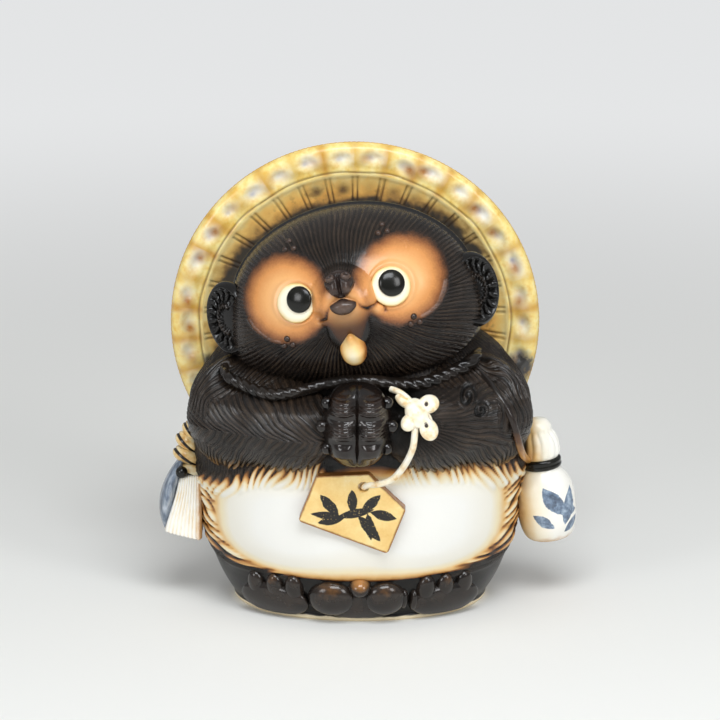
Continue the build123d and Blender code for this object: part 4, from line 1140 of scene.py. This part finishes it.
cap_glaze, shader, place = rippled_glaze("cap_glaze", 0.2, gloss=0.5)
_, _, out = flask_own(place)
paper = (out + (place.cloud(6) - 0.5) * 5).tones(
    (-9, tint(186, 126, 60)), (-3.5, tint(232, 194, 130)), (1.5, tint(247, 240, 220)),
    (7, tint(249, 246, 238)))
(place.mark("fold") * 0.55 * out.fade(4, -6)).blend(paper, tint(120, 76, 38)).onto(shader, "Base Color")
bm = turned(wheel_side(cap_side, 70), 168)
mesh = clay(bm, "flask_paper_cap")
points = points_of(mesh)
x, y, z = points.T
pleat = np.abs(np.cos(np.arctan2(y, x) * 7 + 0.5 * np.sin(z / 3)))
skirt = ease(z, 44, 47) * (1 - ease(z, 57, 61))
points += outward(mesh) * (0.7 * (pleat - 0.6) * skirt)[:, None]
press(mesh, moved(points, flask_place), fold=(1 - pleat) ** 2 * skirt)
cap = set_in_place(mesh, cap_glaze)
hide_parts("flask_cap")

bm = turned(wheel_side(tie_side, 48), 120)
bmesh.ops.transform(bm, verts=bm.verts, matrix=flask_place)
tie = set_in_place(clay(bm, "flask_band"), black_drop)
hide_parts("flask_tie")

strap_glaze, shader, place = rippled_glaze("strap_glaze", 0.2, gloss=0.45)
(place.parts()[2] + (place.cloud(4) - 0.5) * 8).tones(
    (84, tint(196, 140, 74)), (96, tint(96, 62, 36)), (104, tint(40, 30, 25)), (126, tint(30, 25, 22))).onto(
    shader, "Base Color")
strap_run = [(58, -28, 131), (64, -35.4, 127.6), (70.5, -45.4, 121.4), (76.4, -50.0, 112.4),
             (79.8, -49.6, 102.4), (82.0, -43.5, 92.6), (85, -27, 82), (88, -10, 76)]
strap = set_in_place(rolled_cord("flask_strap_cord", strap_run, strap_radius), strap_glaze)
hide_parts("flask_strap")


# Ledger: a folded account book that hangs from a knotted cord on the other hip, in stoneware.
# The pages are white, the cover has a blue-grey wash, and the cord is amber with dark turns.
ledger_inner, ledger_y, ledger_foot, ledger_top = -84.5, -6, 34.5, 68
cover_x, cover_foot, cover_height = -101.5, 36.5, 42

page_glaze, shader, place = rippled_glaze("page_glaze", 0.22, gloss=0.5)
page_edge = (place.parts()[0] + (place.cloud(6) - 0.5) * 4).fade(-86.5, -82.5)
leaf_tone = (place.cloud(9) * 0.8 + place.mark("leaf") * 0.35).tones(
    (0.3, tint(232, 204, 156)), (0.5, tint(246, 238, 220)), (0.75, tint(249, 247, 240)))
page_edge.blend(leaf_tone, tint(216, 166, 102)).onto(shader, "Base Color")


def page_block(round_share, up_share):
    """The stack of pages, wider at its foot, with its corners rounded."""
    turn = 2 * pi * round_share
    level = np.clip((up_share - 0.06) / 0.88, 0, 1)
    inside = np.where(up_share < 0.06, up_share / 0.06, np.where(up_share > 0.94, (1 - up_share) / 0.06, 1.0))
    corner = (np.abs(np.cos(turn)) ** 7 + np.abs(np.sin(turn)) ** 7) ** (-1 / 7)
    corner = corner * np.sqrt(np.clip(inside, 0, 1))
    half_thick, half_deep = 9.6 - 4.2 * level, 12 - 3.6 * level
    x = ledger_inner + 1.5 - half_thick + half_thick * corner * np.cos(turn)
    y = ledger_y + half_deep * corner * np.sin(turn)
    foot = ledger_foot + 0.26 * (ledger_inner - x)
    return np.stack((x, y, foot + (ledger_top - foot) * level), 1)


mesh = clay(rolled(260, 90, page_block), "ledger_leaves")
points = points_of(mesh)
x, y, z = points.T
share = (x - ledger_inner) / (19 - 8.0 * ease(z, ledger_foot, ledger_top))
leaf = np.abs(np.cos(pi * share * 9))
points += outward(mesh) * (0.45 * leaf * (np.abs(y - ledger_y) > 6))[:, None]
press(mesh, points, leaf=leaf)
pages = set_in_place(mesh, page_glaze)
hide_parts("ledger_pages")

cover_glaze, shader, place = rippled_glaze("cover_glaze", 0.2, gloss=0.5)
wash = place.stretched(1.0, 1.0, 0.35)
(wash.cloud(3.2, 4.0) * 0.8 + place.cloud(10) * 0.3).tones(
    (0.34, tint(52, 60, 74)), (0.54, tint(116, 128, 144)), (0.74, tint(190, 198, 208))).onto(
    shader, "Base Color")


def cover_blade(round_share, up_share):
    """The cover as a bowed leaf that leans over the pages."""
    turn = 2 * pi * round_share
    swell = np.sin(pi * np.clip(up_share, 0, 1)) ** 0.6
    x = cover_x + 9.5 * up_share - 3.6 * np.sin(pi * up_share) + 4.2 * swell * np.cos(turn)
    y = ledger_y - 1 + 11 * swell * np.sin(turn)
    return np.stack((x, y, cover_foot + cover_height * up_share), 1)


cover = set_in_place(clay(rolled(96, 80, cover_blade), "ledger_blue_cover"), cover_glaze)
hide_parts("ledger_cover")

knot_glaze, shader, place = rippled_glaze("knot_glaze", 0.2, gloss=0.5)
amber = place.cloud(5).tones((0.3, tint(200, 144, 70)), (0.5, tint(236, 204, 142)),
                             (0.68, tint(246, 234, 200)))
place.mark("groove").fade(0.35, 0.8).blend(amber, tint(34, 27, 24)).onto(shader, "Base Color")
bm = bmesh.new()
lows = {}
for x, z, half_width, half_height, tilt in ((-88.5, 69.5, 8.4, 5.0, 6), (-90, 77.6, 8.2, 4.8, 18),
                                            (-89.5, 85, 7.4, 4.6, 26), (-87, 91, 6.4, 4.4, 30)):
    made = bmesh.ops.create_uvsphere(bm, u_segments=80, v_segments=60, radius=1)
    for vertex in made["verts"]:
        twist = abs(sin(2.2 * vertex.co.z + 1.4 * vertex.co.x + 0.6))
        lows[vertex] = max(0.0, 1 - 1.5 * twist) * 1.5 + max(0.0, abs(vertex.co.z) - 0.6) * 3
        vertex.co *= 1 - 0.1 * max(0.0, 1 - 2.6 * twist)
    bmesh.ops.scale(bm, verts=made["verts"], vec=(half_width, 7, half_height))
    bmesh.ops.rotate(bm, verts=made["verts"], cent=(0, 0, 0), matrix=Matrix.Rotation(radians(tilt), 3, "Y"))
    bmesh.ops.translate(bm, verts=made["verts"], vec=(x, ledger_y, z))
groove = [lows[vertex] for vertex in bm.verts]
mesh = bpy.data.meshes.new("ledger_knots")
bm.to_mesh(mesh)
bm.free()
press(mesh, points_of(mesh), groove=groove)
knots = set_in_place(mesh, knot_glaze)
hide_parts("ledger_cord")
mesh = clay(ball(3.2, 3.2, 3.2), "ledger_black_bead")
press(mesh, points_of(mesh) + np.array((-93, -14.5, 70.5)))
bead = set_in_place(mesh, black_drop)
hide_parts("ledger_bead")


# Studio: a plain pale floor that fades out away from the figure. None of this is part of the object.
# A soft lamp hangs overhead and one stands at each side of the camera, under a pale sky.
lamp_aim = (0, 0, 0.12)
floor_bm = bmesh.new()
bmesh.ops.create_grid(floor_bm, x_segments=1, y_segments=1, size=8)
floor_mesh = bpy.data.meshes.new("floor")
floor_bm.to_mesh(floor_mesh)
floor_bm.free()
floor = bpy.data.objects.new("floor", floor_mesh)
bpy.context.collection.objects.link(floor)
floor_paint = bpy.data.materials.new("floor_paint")
floor_paint.use_nodes = True
tree = floor_paint.node_tree
plain = tree.nodes["Principled BSDF"]
plain.inputs["Base Color"].default_value = tint(238, 237, 233)
plain.inputs["Roughness"].default_value = 0.85
place = Wash(tree, tree.nodes.new("ShaderNodeTexCoord").outputs["Object"])
rays = place.node("LightPath", out="Is Camera Ray")
for kind in ("Is Glossy Ray", "Is Transmission Ray"):
    rays = rays.most(place.node("LightPath", out=kind))
far = place.node("VectorMath", {"operation": "LENGTH"}, {0: place}, out=1).fade(0.3, 1.3) * rays * 0.8
paler = tree.nodes.new("ShaderNodeEmission")
paler.inputs["Color"].default_value = (0.86, 0.87, 0.88, 1)
mixed = tree.nodes.new("ShaderNodeMixShader")
tree.links.new(far.socket, mixed.inputs[0])
tree.links.new(plain.outputs[0], mixed.inputs[1])
tree.links.new(paler.outputs[0], mixed.inputs[2])
tree.links.new(mixed.outputs[0], tree.nodes["Material Output"].inputs["Surface"])
floor_mesh.materials.append(floor_paint)


def soft_lamp(name, place, size, power, shade=(1, 1, 1)):
    """A large lamp that faces the middle of the figure."""
    lamp = bpy.data.lights.new(name, "AREA")
    lamp.shape, lamp.size, lamp.size_y = "RECTANGLE", *size
    lamp.energy, lamp.color = power, shade
    stand = bpy.data.objects.new(name, lamp)
    stand.location = place
    stand.rotation_euler = (Vector(lamp_aim) - Vector(place)).to_track_quat("-Z", "Y").to_euler()
    bpy.context.collection.objects.link(stand)


soft_lamp("overhead_lamp", (0.1, -0.8, 1.2), (0.85, 0.5), 11.5, (0.93, 0.97, 1.0))
soft_lamp("right_lamp", (1.1, -1.2, 0.9), (0.5, 0.7), 7.6)
soft_lamp("left_lamp", (-1.3, -1.3, 0.7), (0.6, 0.6), 7.2)
world = bpy.data.worlds.new("room")
world.use_nodes = True
sky = Wash(world.node_tree, world.node_tree.nodes.new("ShaderNodeTexCoord").outputs["Generated"])
background = world.node_tree.nodes["Background"]
sky.parts()[2].fade(-0.1, 0.9).blend((0.24, 0.245, 0.25, 1), (0.46, 0.47, 0.48, 1)).onto(background, "Color")
bpy.context.scene.world = world

lens = bpy.data.cameras.new("camera")
lens.lens, lens.sensor_width = 195.65, 36
camera = bpy.data.objects.new("camera", lens)
camera.location = (0, -1.96685, 0.66902)
camera.rotation_euler = (radians(74.6), 0, 0)
bpy.context.collection.objects.link(camera)
bpy.context.scene.camera = camera
bpy.context.scene.view_settings.view_transform = "Standard"
